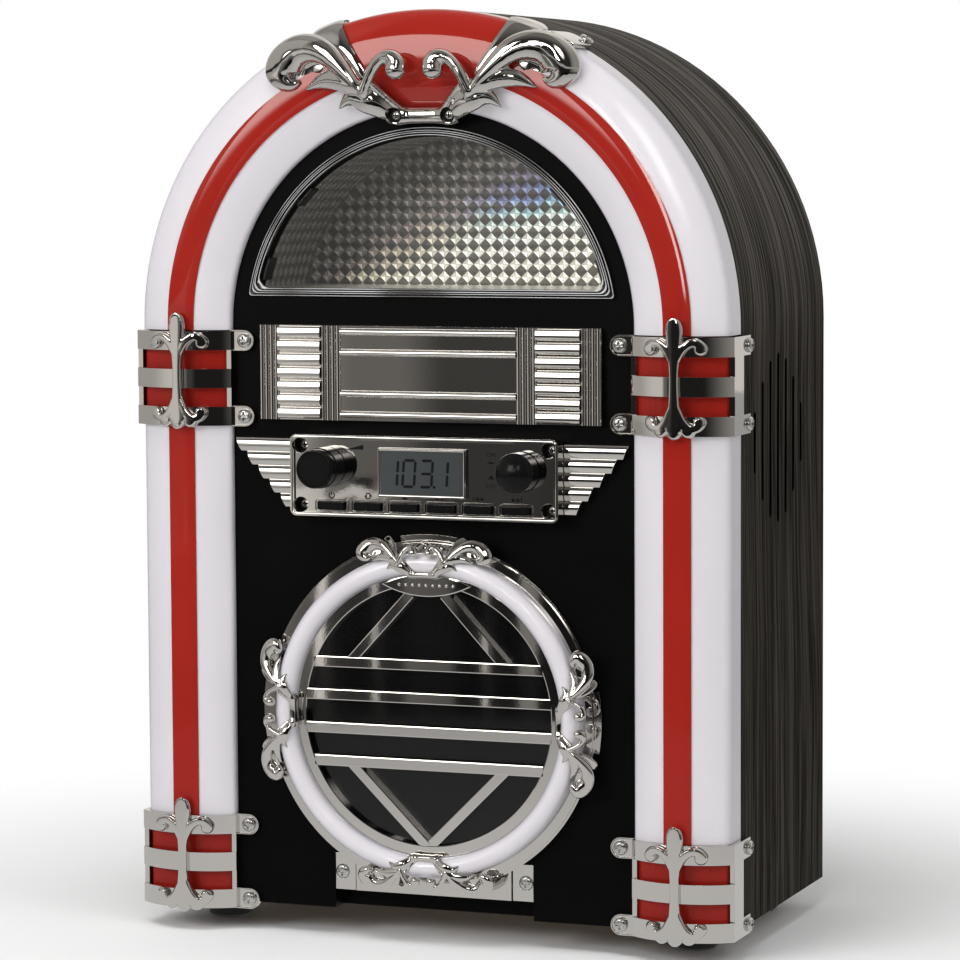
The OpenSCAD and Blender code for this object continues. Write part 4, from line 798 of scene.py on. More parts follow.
# Scrolls of the crest and of the door, in millimetres: across, up, forward, half width, half thickness
HORN = [
    (24, 5, 14, 1.6, 2.2), (30, 12.5, 14.8, 2.9, 3.2), (36.5, 19.2, 14.2, 4.2, 3.8),
    (43.6, 24.8, 12.8, 5.6, 4.5), (51, 27, 11.4, 6.4, 4.9), (58.2, 25.8, 10.2, 7.2, 5.2),
    (63.6, 21.6, 9.4, 8.2, 5.6), (66, 16.8, 8.8, 8.2, 5.6), (64.6, 13.4, 8.8, 5.8, 4.8),
    (60.8, 11.4, 9.2, 3.2, 3.4), (57, 12.6, 9.6, 0.9, 1.4),
]
BUD = [
    (25, 6, 15, 2.2, 2.4), (22.6, 12, 15.8, 2.5, 2.7), (19, 18.4, 16.4, 2.7, 2.9), (14.8, 22.2, 16.8, 2.9, 3),
    (10.6, 22.4, 17, 3.5, 3.4), (8.2, 19.6, 16.9, 4.4, 4), (8.6, 17, 16.7, 4.8, 4.2),
]
LONG_LEAF = [
    (24, 6.5, 14.4, 2, 2.6), (30, 10.6, 14.4, 4.2, 3.2), (37.5, 13, 13.4, 4.8, 3.2),
    (45.5, 12.6, 12, 3.6, 2.6), (54.4, 8.6, 10.2, 0.4, 0.8),
]
LOW_LEAF = [
    (11.5, -4, 6.6, 2.2, 2.2), (16, -0.6, 10, 4.6, 3), (22, 3.4, 12.6, 6.2, 3.6), (29, 5.4, 12.8, 5.4, 3.2),
    (34, 4, 11.8, 3, 2.2), (38.4, 0.2, 10.4, 0.4, 0.8),
]
BRACE = [(21, 11, 14.6, 1.5, 2), (14.6, 4.6, 11, 1.4, 2), (8.4, -1.4, 6.4, 1.6, 2.2)]
FOOT = [(24.4, 8, 14, 3.2, 3), (19, 2.4, 10.6, 3, 3), (14, -3, 6.4, 2.8, 3)]
TIE_BAR = [
    (-17, -2.8, 5, 3.4, 4.6), (-12, -2.8, 5.2, 4.4, 5.2), (-6, -2.8, 4.8, 3.7, 4.2), (6, -2.8, 4.8, 3.7, 4.2),
    (12, -2.8, 5.2, 4.4, 5.2), (17, -2.8, 5, 3.4, 4.6),
]
WEB = [(46, 17.4, 8.6, 3, 0.9), (51, 19.4, 8.2, 6, 1), (57, 19, 7.6, 6.4, 1), (62, 17, 7.2, 3, 0.9)]
CLIP = [
    (27, 12, 14, 2, 1.4), (32.5, 21, 11.5, 4.6, 1.4), (38, 28, 9.4, 5.4, 1.5), (41.5, 32.5, 7.4, 4.6, 1.5),
    (43, 34.4, 6.6, 2.4, 1.2),
]


def scroll_casting(voxel, clips):
    """Both halves of the scrolls as one casting, with clips where no strips hold it."""
    bm = bmesh.new()
    for mirrored in (False, True):
        add_swept(bm, HORN, 20, 8, 0.0, mirrored)
        add_swept(bm, WEB, 12, 5, 0.0, mirrored, 0.5)
        add_swept(bm, BUD, 16, 8, 0.0, mirrored)
        add_ball(bm, (8.6, 17.4, 16.7), 5, 0.95, mirrored)
        add_swept(bm, LONG_LEAF, 14, 7, 0.55, mirrored)
        add_swept(bm, LOW_LEAF, 14, 7, 0.5, mirrored)
        add_swept(bm, BRACE, 12, 6, 0.3, mirrored)
        add_swept(bm, FOOT, 14, 6, 0.2, mirrored)
        if clips:
            add_swept(bm, CLIP, 16, 6, 0.0, mirrored, 0.6)
    add_swept(bm, TIE_BAR, 20, 6, 0.0, False, 0.75)
    return cast(bm, "scroll_casting", voxel, 6)


# Fleurs of the brackets, drawn as the scrolls are, from the bracket's upper edge
STEM = [
    (0, 8, 1.2, 0.7, 1.8), (0, 7.5, 1.2, 1.8, 2.1), (0, 6.4, 1.2, 2.9, 2.3), (0, 4.4, 1.2, 3.6, 2.3),
    (0, 1.6, 1.2, 3.9, 2.3), (0, -2, 1.2, 3.6, 2.3), (0, -8, 1.2, 2.9, 2.3), (0, -17, 1.2, 2.2, 2.3),
    (0, -25, 1.2, 2.3, 2.3), (0, -32, 1.2, 3, 2.3), (0, -38, 1.2, 4.8, 2.3), (0, -41, 1.2, 4, 2.2),
]
UPPER_CURL = [
    (0.6, -10.5, 1.1, 2.2, 2.1), (3.6, -5.6, 1.2, 2, 2.2), (7.2, -3, 1.2, 1.9, 2.2), (10.2, -3, 1.2, 2, 2.2),
    (12, -5, 1.2, 2.4, 2.2), (11.6, -6.4, 1.2, 2.4, 2.1),
]
LOWER_CURL = [
    (0.6, -31, 1.1, 2.4, 2.1), (3.6, -36.6, 1.2, 2.1, 2.2), (7, -39.4, 1.2, 2, 2.2), (10, -39, 1.2, 2.1, 2.2),
    (11.6, -37, 1.2, 2.4, 2.1),
]
FLEUR_BOX = 0.9
FLEUR_FACE = 2.85
FLATTENING = 0.85
BAND_BEND = 77.0


def fleur_casting(voxel):
    """Flat-faced fleur, bent round the bracket's bands."""
    bm = bmesh.new()
    add_swept(bm, STEM, 20, 7, 0.0, False, FLEUR_BOX)
    add_ball(bm, (0, -41.4, 1), 3.3, 0.75)
    for mirrored in (False, True):
        add_swept(bm, UPPER_CURL, 16, 7, 0.0, mirrored, FLEUR_BOX)
        add_swept(bm, LOWER_CURL, 16, 7, 0.0, mirrored, FLEUR_BOX)
        add_ball(bm, (11.5, -5.6, 1.1), 2.9, 0.75, mirrored)
        add_ball(bm, (11.1, -36.8, 1.1), 2.9, 0.75, mirrored)
        add_ball(bm, (6.2, -40.4, 1), 3.4, 0.72, mirrored)
    mesh = cast(bm, "fleur_casting", voxel, 4)
    for vert in mesh.vertices:
        over = max(vert.co.z - FLEUR_FACE, 0)
        vert.co.z -= over * FLATTENING + vert.co.x ** 2 / BAND_BEND
    return mesh


# Geometry trees


class Geometry(Tree):
    """A geometry tree with named inputs."""

    def __init__(self, name, inputs):
        group = bpy.data.node_groups.new(name, "GeometryNodeTree")
        super().__init__(group)
        group.interface.new_socket("Geometry", in_out="INPUT", socket_type="NodeSocketGeometry")
        group.interface.new_socket("Geometry", in_out="OUTPUT", socket_type="NodeSocketGeometry")
        self.ids = {}
        for label, kind in inputs.items():
            self.ids[label] = group.interface.new_socket(
                label, in_out="INPUT", socket_type="NodeSocket" + kind
            ).identifier
        entry = group.nodes.new("NodeGroupInput")
        self.entry = {s.name: Socket(self, s) for s in entry.outputs if s.name}
        self.exit = group.nodes.new("NodeGroupOutput")

    def __getitem__(self, label):
        return self.entry[label]

    def close(self, geometry):
        """Ends the tree in real faces that carry the material input."""
        real = self.node("GeometryNodeRealizeInstances", None, [geometry])
        done = self.node("GeometryNodeSetMaterial", None, {"Geometry": real, "Material": self["Material"]})
        self.feed(self.exit.inputs[0], done)

    def put_on(self, made, **values):
        """Puts the tree on an object, with values for its inputs."""
        modifier = made.modifiers.new(self.tree.name, "NODES")
        modifier.node_group = self.tree
        for label, value in values.items():
            modifier[self.ids[label]] = value
        return made


def standing_tree(name):
    """Puts one shape on every point, with its Z along the point's aim."""
    tree = Geometry(name, {"Shape": "Object", "Scale": "Float", "Material": "Material"})
    shape = tree.node("GeometryNodeObjectInfo", None, {"Object": tree["Shape"]}, out="Geometry")
    aim = tree.node("GeometryNodeInputNamedAttribute", {"data_type": "FLOAT_VECTOR"}, {"Name": "aim"})
    turn = tree.node("FunctionNodeAlignRotationToVector", {"axis": "Z"}, {"Vector": aim})
    instances = tree.node(
        "GeometryNodeInstanceOnPoints", None,
        {"Points": tree["Geometry"], "Instance": shape, "Rotation": turn, "Scale": tree["Scale"]},
    )
    tree.close(instances)
    return tree


def stood(name, tree_name, shape, seats, slot, scale=1.0):
    """An object of one shape on every seat, which is a spot and the way that the shape looks there."""
    mesh = bpy.data.meshes.new(name)
    mesh.from_pydata([tuple(spot) for spot, _ in seats], [], [])
    aims = mesh.attributes.new("aim", "FLOAT_VECTOR", "POINT")
    for item, (_, aim) in zip(aims.data, seats):
        item.vector = aim
    dots = link(name, mesh)
    return plain(standing_tree(tree_name).put_on(dots, Shape=shape, Scale=scale, Material=finish(slot)))


def swept_tree(name):
    """Carries a flat profile along a path in the panel's plane."""
    tree = Geometry(name, {"Profile": "Object", "Material": "Material"})
    profile = tree.node("GeometryNodeObjectInfo", None, {"Object": tree["Profile"]}, out="Geometry")
    path = tree.node(
        "GeometryNodeSetCurveNormal", {"mode": "FREE"},
        {"Curve": tree["Geometry"], "Normal": tuple(FORWARD)},
    )
    skin = tree.node(
        "GeometryNodeCurveToMesh", None, {"Curve": path, "Profile Curve": profile, "Fill Caps": True}
    )
    tree.close(skin)
    return tree


def polyline(name, points, closed):
    curve = bpy.data.curves.new(name, "CURVE")
    curve.dimensions = "3D"
    spline = curve.splines.new("POLY")
    spline.points.add(len(points) - 1)
    for spot, point in zip(spline.points, points):
        spot.co = (*point, 1)
    spline.use_cyclic_u = closed
    return link(name, curve)


# Sizes and colours that a user would change


class JukeboxSizes(bpy.types.PropertyGroup):
    edge_round: FloatProperty(
        name="Edge Round", description="Radius of a plated edge", default=0.35 * MM,
        subtype="DISTANCE", unit="LENGTH",
    )
    screw_head: FloatProperty(
        name="Screw Head", description="Diameter of a screw's head", default=6.4 * MM,
        subtype="DISTANCE", unit="LENGTH",
    )
    screw_length: FloatProperty(
        name="Screw Length", description="Length of a screw's shank", default=7 * MM,
        subtype="DISTANCE", unit="LENGTH",
    )
    tile: FloatProperty(
        name="Lining Tile", description="Size of a tile of the prismatic lining", default=5.75 * MM,
        subtype="DISTANCE", unit="LENGTH",
    )
    casting_grain: FloatProperty(
        name="Casting Grain", description="Fineness of the scrolls, in millimetres of their drawing",
        default=0.55, min=0.3, max=2,
    )
    tab_pips: IntProperty(name="Tab Pips", description="Raised pips on the door's push tab", default=9, min=3)


class JukeboxColours(bpy.types.PropertyGroup):
    chrome: FloatVectorProperty(
        name="Chrome", description="Colour of the plated trim", subtype="COLOR", default=(0.7, 0.685, 0.66)
    )
    wood: FloatVectorProperty(
        name="Wood", description="Middle tone of the veneer", subtype="COLOR",
        default=(0.0205, 0.0168, 0.0124),
    )
    milk: FloatVectorProperty(
        name="Milk White", description="Colour of the light tubes", subtype="COLOR",
        default=(0.645, 0.62, 0.65),
    )
    red: FloatVectorProperty(
        name="Red", description="Colour of the stripes, sleeves and crown", subtype="COLOR",
        default=(0.3, 0.0155, 0.0098),
    )
    panel: FloatVectorProperty(
        name="Panel", description="Colour of the front panel", subtype="COLOR",
        default=(0.0024, 0.0023, 0.0023),
    )
    lcd: FloatVectorProperty(
        name="Display", description="Ground of the display", subtype="COLOR", default=(0.021, 0.0275, 0.0295)
    )


# Operators


class PieceMaker:
    """What the operators share: each one builds its pieces from the scene's sizes and colours."""

    bl_options = {"REGISTER"}

    def execute(self, context):
        self.build(context.scene.jukebox_sizes)
        return {"FINISHED"}


class JUKEBOX_OT_cabinet(PieceMaker, bpy.types.Operator):
    """Finish the wooden cabinet, its boards and feet"""

    bl_idname = "jukebox.cabinet"
    bl_label = "Cabinet"

    EDGE = 0.4 * MM

    def build(self, sizes):
        rounded_copy("cabinet_shell", self.EDGE)
        rounded_copy("front_panel", self.EDGE)
        paint("base_board", "back_panel", "rubber_feet")


class JUKEBOX_OT_tubes(PieceMaker, bpy.types.Operator):
    """Sweep the light tubes, their stripes and the crown along the front's edge"""

    bl_idname = "jukebox.tubes"
    bl_label = "Light Tubes"

    APEX = 9 * MM
    CORNER = 5 * MM
    FLANK = 13 * MM
    LIP = 3 * MM
    WALL = 2 * MM
    STRIPE = 12.5 * MM
    PROUD = 0.6 * MM
    CROWN_GAP = math.radians(0.1)
    LEAN_END = math.radians(42)

    @classmethod
    def front_arc(cls):
        """Radius of the tube's shallow front and the angle at which its corner begins."""
        reach = TUBE_W / 2 - cls.CORNER
        radius = (reach ** 2 + cls.APEX ** 2 - cls.CORNER ** 2) / (2 * (cls.APEX - cls.CORNER))
        return radius, math.asin(reach / (radius - cls.CORNER))

    def tube_profile(self):
        """Section of a tube, across and forward: lip, shallow front, corner and flank."""
        radius, bend = self.front_arc()
        half, lip, corner = TUBE_W / 2, self.LIP, self.CORNER
        middle = self.APEX - radius
        start = math.asin((half - lip) / (radius - lip))
        seat = middle + (radius - lip) * math.cos(start)
        points = [(-half, 0.0)]
        points += bow((-half + lip, seat), lip, spread(-QUARTER_TURN, -start, 9)[:-1])
        points += bow((0, middle), radius, spread(-start, bend, 36))
        points += bow((half - corner, 0), corner, spread(bend, QUARTER_TURN, 10)[1:])
        return points + [(half, -self.FLANK), (half - self.WALL, -self.FLANK), (half - self.WALL, 0.0)]

    def stripe_profile(self):
        """Section of a stripe, which stands a little proud of the tube's front."""
        radius, _ = self.front_arc()
        reach = math.asin(self.STRIPE / 2 / radius)
        turns = spread(-reach, reach, 14)
        middle = (0, self.APEX - radius)
        return bow(middle, radius + self.PROUD, turns) + bow(middle, radius - self.PROUD, turns[::-1])

    def lean(self, mesh):
        """Leans the joints between crown and tubes inwards, as they run under the crest."""
        for vert in mesh.vertices:
            x, z = vert.co.x, vert.co.z - ARCH_Z
            if z <= 0:
                continue
            radius, angle = math.hypot(x, z), abs(math.atan2(x, z))
            share = min(max((radius - TUBE_IN) / TUBE_W, 0), 1)
            end = CROWN_HALF * (1 + share) / 2
            if angle <= CROWN_HALF:
                angle *= end / CROWN_HALF
            elif angle < self.LEAN_END:
                angle = end + (angle - CROWN_HALF) * (self.LEAN_END - end) / (self.LEAN_END - CROWN_HALF)
            vert.co.x = math.copysign(radius * math.sin(angle), x)
            vert.co.z = ARCH_Z + radius * math.cos(angle)

    def sweep(self, tree, path, profile, name, slot, stands_for):
        """Carries a profile along a path that runs anticlockwise round the front."""
        guide = polyline(name + "_path", path, False)
        mesh = evaluated(tree.put_on(guide, Profile=profile, Material=finish(slot)))
        bpy.data.objects.remove(guide)
        bm = bmesh.new()
        bm.from_mesh(mesh)
        bmesh.ops.remove_doubles(bm, verts=bm.verts, dist=FINE_WELD)
        bmesh.ops.recalc_face_normals(bm, faces=bm.faces)
        bm.to_mesh(mesh)
        bm.free()
        self.lean(mesh)
        piece(link(name + "_light", mesh), slot, "body", stands_for, 50)

    def build(self, sizes):
        tree = swept_tree("Swept Tube")
        tube, stripe = (
            polyline("profile", [(forward, x, 0.0) for x, forward in points], True)
            for points in (self.tube_profile(), self.stripe_profile())
        )
        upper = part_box("upper_right_bracket")[1].z
        turns = spread(0, QUARTER_TURN - CROWN_HALF - self.CROWN_GAP, 72)
        for side, name in zip(SIDES, ("left", "right")):
            low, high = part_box(name + "_column_tube")
            column = [(TUBE_MID, low.z), (TUBE_MID, high.z)]
            arch = [(TUBE_MID, upper)] + arc((0, ARCH_Z), TUBE_MID, turns)
            for line, kind in ((column, "column"), (arch, "arch")):
                path = [at(side * x, 0, z) for x, z in line][::side]
                tube_node, stripe_node = f"{name}_{kind}_tube", f"{kind}_stripes"
                self.sweep(tree, path, tube, tube_node, "white_tube", [tube_node])
                self.sweep(tree, path, stripe, f"{name}_{stripe_node}", "red_tube", [stripe_node])
        turns = spread(QUARTER_TURN - CROWN_HALF, QUARTER_TURN + CROWN_HALF, 40)
        crown = [at(x, 0, z) for x, z in arc((0, ARCH_Z), TUBE_MID, turns)]
        self.sweep(tree, crown, tube, "crown", "red_tube", ["crown_lens"])
        for profile in (tube, stripe):
            bpy.data.objects.remove(profile)
        paint("light_strips")


HEAD_HEIGHT = 2 * MM
FRONTAL = 0.9
SNAP_WITHIN = 0.97


def screw_seats():
    """Where each screw sits and the way its head looks, read from the solids of the screws."""
    bm = solid_of("case_screws")
    seen = set()
    found = []
    # Corners are met in the mesh's own order, so that every run finds the same axes
    for first in bm.verts:
        if first in seen:
            continue
        seen.add(first)
        island, queue = [], [first]
        while queue:
            vert = queue.pop()
            island.append(vert.co.copy())
            for edge in vert.link_edges:
                other = edge.other_vert(vert)
                if other not in seen:
                    seen.add(other)
                    queue.append(other)
        found.append(island)
    bm.free()
    return [screw_axis(island) for island in found]


def screw_axis(island):
    """A screw's head is the wide end: its axis runs from the shank's tip to the head."""
    middle = sum(island, Vector()) / len(island)
    tip_ring = sorted(island, key=lambda v: (v - middle).length)[-6:]
    tip = sum(tip_ring, Vector()) / len(tip_ring)
    axis = (middle - tip).normalized()
    for snap in (FORWARD, -FORWARD, Vector((1, 0, 0)), Vector((-1, 0, 0))):
        if axis.dot(snap) > SNAP_WITHIN:
            axis = snap
    top = max(v.dot(axis) for v in island)
    ring = [v for v in island if v.dot(axis) > top - 0.05 * MM]
    centre = sum(ring, Vector()) / len(ring)
    return centre - axis * HEAD_HEIGHT, axis


def faces_front(aim):
    return aim.dot(FORWARD) > FRONTAL


class JUKEBOX_OT_brackets(PieceMaker, bpy.types.Operator):
    """Plate the four brackets, cast the fleurs on them and fill them with red sleeves"""

    bl_idname = "jukebox.brackets"
    bl_label = "Brackets"

    CORNERS = ("upper_left", "upper_right", "lower_left", "lower_right")
    FLEUR_GRAIN = 0.6
    SLEEVE_GAP = 1 * MM
    EAR_REACH = 8 * MM
    RIM_INSET = 0.3
    RIM_TAIL = 2.4
    RIM_BAR = (0.05, 0.42, 0.5)

    def fleurs(self, sizes):
        casting = fleur_casting(sizes.casting_grain * self.FLEUR_GRAIN)
        crown = FACE_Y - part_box("upper_right_bracket")[0].y
        bm = bmesh.new()
        for corner in self.CORNERS:
            low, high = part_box(corner + "_bracket")
            spot = at(math.copysign(TUBE_MID, low.x), crown, high.z)
            bm.from_mesh(placed(casting, Matrix.Translation(spot) @ UPRIGHT))
        piece(drawn(bm, "fleurs"), "chrome", "body", ["fleur_ornaments"], 60)

    def ear_rims(self):
        """Raised rims round the ears that are screwed to the panel."""
        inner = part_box("upper_right_bracket")[0].x
        bm = bmesh.new()
        for spot, aim in screw_seats():
            if not faces_front(aim) or not 0 < abs(spot.x) - inner < self.EAR_REACH:
                continue
            r = (abs(spot.x) - inner) / MM - self.RIM_INSET
            line = [(r + self.RIM_TAIL, r), (r * 0.6, r)]
            line += arc((0, 0), r, spread(QUARTER_TURN, 3 * QUARTER_TURN, 8))
            line += [(r * 0.6, -r), (r + self.RIM_TAIL, -r)]
            rim = bmesh.new()
            add_swept(rim, [(*point, *self.RIM_BAR) for point in line], 10, 4, 0.0, spot.x < 0)
            bm.from_mesh(placed(mesh_from(rim, "ear_rim"), Matrix.Translation(spot) @ UPRIGHT))
        piece(drawn(bm, "ear_rims"), "chrome", "body", (), 40)

    def sleeves(self):
        """Red sleeves that fill the brackets from side to side."""
        low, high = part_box("right_column_tube")
        bm = solid_of("bracket_sleeves")
        right = [vert.co.x for vert in bm.verts if vert.co.x > 0]
        middle = (max(right) + min(right)) / 2
        stretch = (high.x - low.x - self.SLEEVE_GAP) / (max(right) - min(right))
        for vert in bm.verts:
            axis = math.copysign(middle, vert.co.x)
            vert.co.x = axis + (vert.co.x - axis) * stretch
        piece(drawn(bm, "sleeves"), SLOT_OF["bracket_sleeves"], "body", ["bracket_sleeves"])

    def build(self, sizes):
        for corner in self.CORNERS:
            rounded_copy(corner + "_bracket", sizes.edge_round)
        self.fleurs(sizes)
        self.ear_rims()
        self.sleeves()


class JUKEBOX_OT_crest(PieceMaker, bpy.types.Operator):
    """Cast the crest's scrolls, with the strips that hold it over the tube"""

    bl_idname = "jukebox.crest"
    bl_label = "Crest"

    # Edges of a strip in millimetres, across and up from the tube's inner side
    LEFT_EDGE = [(26.5, 18), (32.5, 27), (38.5, 37), (40.2, 44), (41.4, 50)]
    RIGHT_EDGE = [(41, 22.4), (47.4, 26.6), (53.5, 31), (56, 40), (58, 50)]
    STAND = 2.4 * MM
    STRIP_START = -0.1
    STRIP_COLUMNS = 8
    STRIP_SAG = 0.9 * MM
    STRIP_TUCK = 0.018
    SHEET = 1.6 * MM

    # A tab's plate: its bearing, and rows of distance forward in millimetres and share of its width
    TAB_MIDDLE = math.radians(27.2)
    TAB_HALF = math.radians(2.6)
    TAB_ROWS = [(7, 1), (0, 1), (-14, 1), (-17.4, 0.93), (-19.4, 0.66), (-20.2, 0.3)]

    # Bores for the tie bar's screws, in millimetres of the drawing
    BORE_RADIUS, BORE_DEPTH = 3.5, 20
    BORE_SPOT = (12.5, -2.8, 16)

    def edge_angle(self, edge, radius):
        """Angle from upright at which an edge drawn over the arch crosses a radius."""
        spots = [(x * MM, TUBE_IN + up * MM) for x, up in edge]
        spans = [(math.hypot(x, z), math.atan2(x, z)) for x, z in spots]
        if radius <= spans[0][0]:
            return spans[0][1]
        for (r0, a0), (r1, a1) in zip(spans, spans[1:]):
            if r0 <= radius <= r1:
                return a0 + (a1 - a0) * (radius - r0) / (r1 - r0)
        return spans[-1][1]

    def strip_line(self):
        """Line of a strip, as radius and distance forward: over the tube's front and corner, then back."""
        tubes, stand = JUKEBOX_OT_tubes, self.STAND
        radius, bend = tubes.front_arc()
        line = bow((TUBE_MID, tubes.APEX - radius), radius + stand, spread(self.STRIP_START, bend, 18))
        turns = spread(bend, QUARTER_TURN, 8)[1:]
        line += bow((HALF_W - tubes.CORNER, 0), tubes.CORNER + stand, turns)
        return line + [(HALF_W + stand, -4 * MM), (HALF_W + stand, -9 * MM), (HALF_W + stand * 0.8, -12 * MM)]

    def strip(self, bm, side):
        """Plate that follows the tube's front, bends over its corner and runs back to the wood."""
        line = self.strip_line()
        rows = []
        for i, (radius, forward) in enumerate(line):
            low, high = (self.edge_angle(edge, radius) for edge in (self.LEFT_EDGE, self.RIGHT_EDGE))
            tuck = max(0.0, (i - len(line) + 3) * self.STRIP_TUCK)
            row = []
            for share in spread(0, 1, self.STRIP_COLUMNS):
                angle = (low + tuck) * (1 - share) + (high - tuck) * share
                sag = self.STRIP_SAG * (2 * share - 1) ** 4
                r = radius - sag
                row.append(at(side * r * math.sin(angle), forward - sag * 0.4, ARCH_Z + r * math.cos(angle)))
            rows.append(row)
        add_sheet(bm, rows)

    def tab(self, bm, side):
        """Small plate behind a horn that takes the side screw."""
        inner, outer, half = HALF_W + 0.3 * MM, HALF_W + 2.5 * MM, self.TAB_HALF
        loops = []
        for forward, width in self.TAB_ROWS:
            loop = []
            for r, a in ((inner, -half), (outer, -half), (outer, half), (inner, half)):
                angle = self.TAB_MIDDLE + a * width
                loop.append(at(side * r * math.sin(angle), forward * MM, ARCH_Z + r * math.cos(angle)))
            loops.append(loop)
        add_skin(bm, loops, "CAP")

    def scrolls(self, sizes):
        """The scrolls in one casting, bored for the screws of its tie bar."""
        casting = link("crest_scrolls", scroll_casting(sizes.casting_grain, False))
        x, up, forward = self.BORE_SPOT
        bm = bmesh.new()
        for side in SIDES:
            bmesh.ops.create_cone(
                bm, cap_ends=True, segments=40, depth=self.BORE_DEPTH, radius1=self.BORE_RADIUS,
                radius2=self.BORE_RADIUS, matrix=Matrix.Translation((side * x, up, forward)),
            )
        cut_out(casting, drawn(bm, "bores"))
        casting.data = placed(casting.data, Matrix.Translation(at(0, 0, ARCH_Z + TUBE_IN)) @ UPRIGHT)
        piece(casting, "chrome", "body", ["crest"], 60)

    def both(self, name, add_half):
        """A left and a right half as one object."""
        bm = bmesh.new()
        for side in SIDES:
            add_half(bm, side)
        return drawn(bm, name)

    def build(self, sizes):
        self.scrolls(sizes)
        strips = self.both("crest_strips", self.strip)
        wall = strips.modifiers.new("Sheet", "SOLIDIFY")
        wall.thickness = self.SHEET
        wall.offset = -1
        piece(plain(strips), "chrome", "body", ["crest"], 40)
        tabs = self.both("crest_tabs", self.tab)
        edge = tabs.modifiers.new("Edges", "BEVEL")
        edge.width = sizes.edge_round
        edge.segments = 2
        piece(plain(tabs), "chrome", "body", ["crest"], 40)


class JUKEBOX_OT_screws(PieceMaker, bpy.types.Operator):
    """Set cross-headed screws in the ears, the crest, the housing, the hinge and the back"""

    bl_idname = "jukebox.screws"
    bl_label = "Screws"

    SUNK = 0.62
    TURNED_SIDES = 28
    SHANK_SHARE = 0.4
    # Profiles of a head and of the black disc under a sunk head, painted shade of the well it sinks in: share
    # of the head's radius, and height in millimetres
    HEAD = [
        (0.96, 0), (1, 0.25), (1, 0.8), (0.93, 1.3), (0.76, 1.7), (0.45, 1.95), (0, HEAD_HEIGHT / MM),
    ]
    SHADE_DISC = [(0, 0), (1, 0), (1, 1.2), (0.94, 1.3), (0, 1.3)]
    # The cross in a head: length and width by the head's radius, depth and middle in millimetres
    CROSS_LONG, CROSS_WIDE, CROSS_DEEP, CROSS_MIDDLE = 1.25, 0.33, 1.9, 1.7

    def turned(self, name, profile):
        """Body turned round Z, with its seat at 0."""
        bm = bmesh.new()
        add_lathe(bm, profile, ORIGIN, self.TURNED_SIDES, UPWARD)
        return drawn(bm, name)

    def head(self, sizes):
        """One screw with a cross in its head."""
        r = sizes.screw_head / 2
        shank, tip = r * self.SHANK_SHARE, -sizes.screw_length
        profile = [(0, tip), (shank, tip), (shank, 0)] + [(r * share, up * MM) for share, up in self.HEAD]
        made = self.turned("screw_blank", profile)
        middle = Matrix.Translation((0, 0, self.CROSS_MIDDLE * MM))
        size = Matrix.Diagonal((r * self.CROSS_LONG, r * self.CROSS_WIDE, self.CROSS_DEEP * MM, 1))
        bm = bmesh.new()
        for turn in (0, QUARTER_TURN):
            bmesh.ops.create_cube(bm, size=1, matrix=middle @ Matrix.Rotation(turn, 4, "Z") @ size)
        cut_out(made, drawn(bm, "screw_cross"), True)
        return made

    def shade_disc(self, sizes):
        """Black disc round a sunk head: painted shade that stands for its dark well."""
        r = sizes.screw_head / 2
        return self.turned("screw_well", [(r * share, up * MM) for share, up in self.SHADE_DISC])

    def is_sunk(self, spot, aim):
        """The screws of the crest's tie bar and of the housing sit in wells, shown by black discs of painted
        shade round their heads.
        """
        low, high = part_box("control_housing")
        in_housing = low.x < spot.x < high.x and low.z < spot.z < high.z
        return faces_front(aim) and (in_housing or spot.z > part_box("crest")[0].z)

    def stand(self, name, seats, shape, scale, slot, stands_for=()):
        made = stood(name, "Screws on Seats", shape, seats, slot, scale)
        piece(made, slot, "body", stands_for, 30)

    def build(self, sizes):
        seats = screw_seats()
        sunk = [seat for seat in seats if self.is_sunk(*seat)]
        proud = [seat for seat in seats if not self.is_sunk(*seat)]
        lift = (1 - self.SUNK) * HEAD_HEIGHT
        raised = [(spot + aim * lift, aim) for spot, aim in sunk]
        head, shade_disc = self.head(sizes), self.shade_disc(sizes)
        self.stand("case_screw_heads", proud, head, 1.0, "screw_steel", ["case_screws"])
        self.stand("sunk_screw_heads", raised, head, self.SUNK, "screw_steel", ["case_screws"])
        # Painted shade: black discs under the sunk heads stand for the shade of their wells
        self.stand("screw_wells", sunk, shade_disc, 1.0, "black_plastic")
        for shape in (head, shade_disc):
            bpy.data.objects.remove(shape)


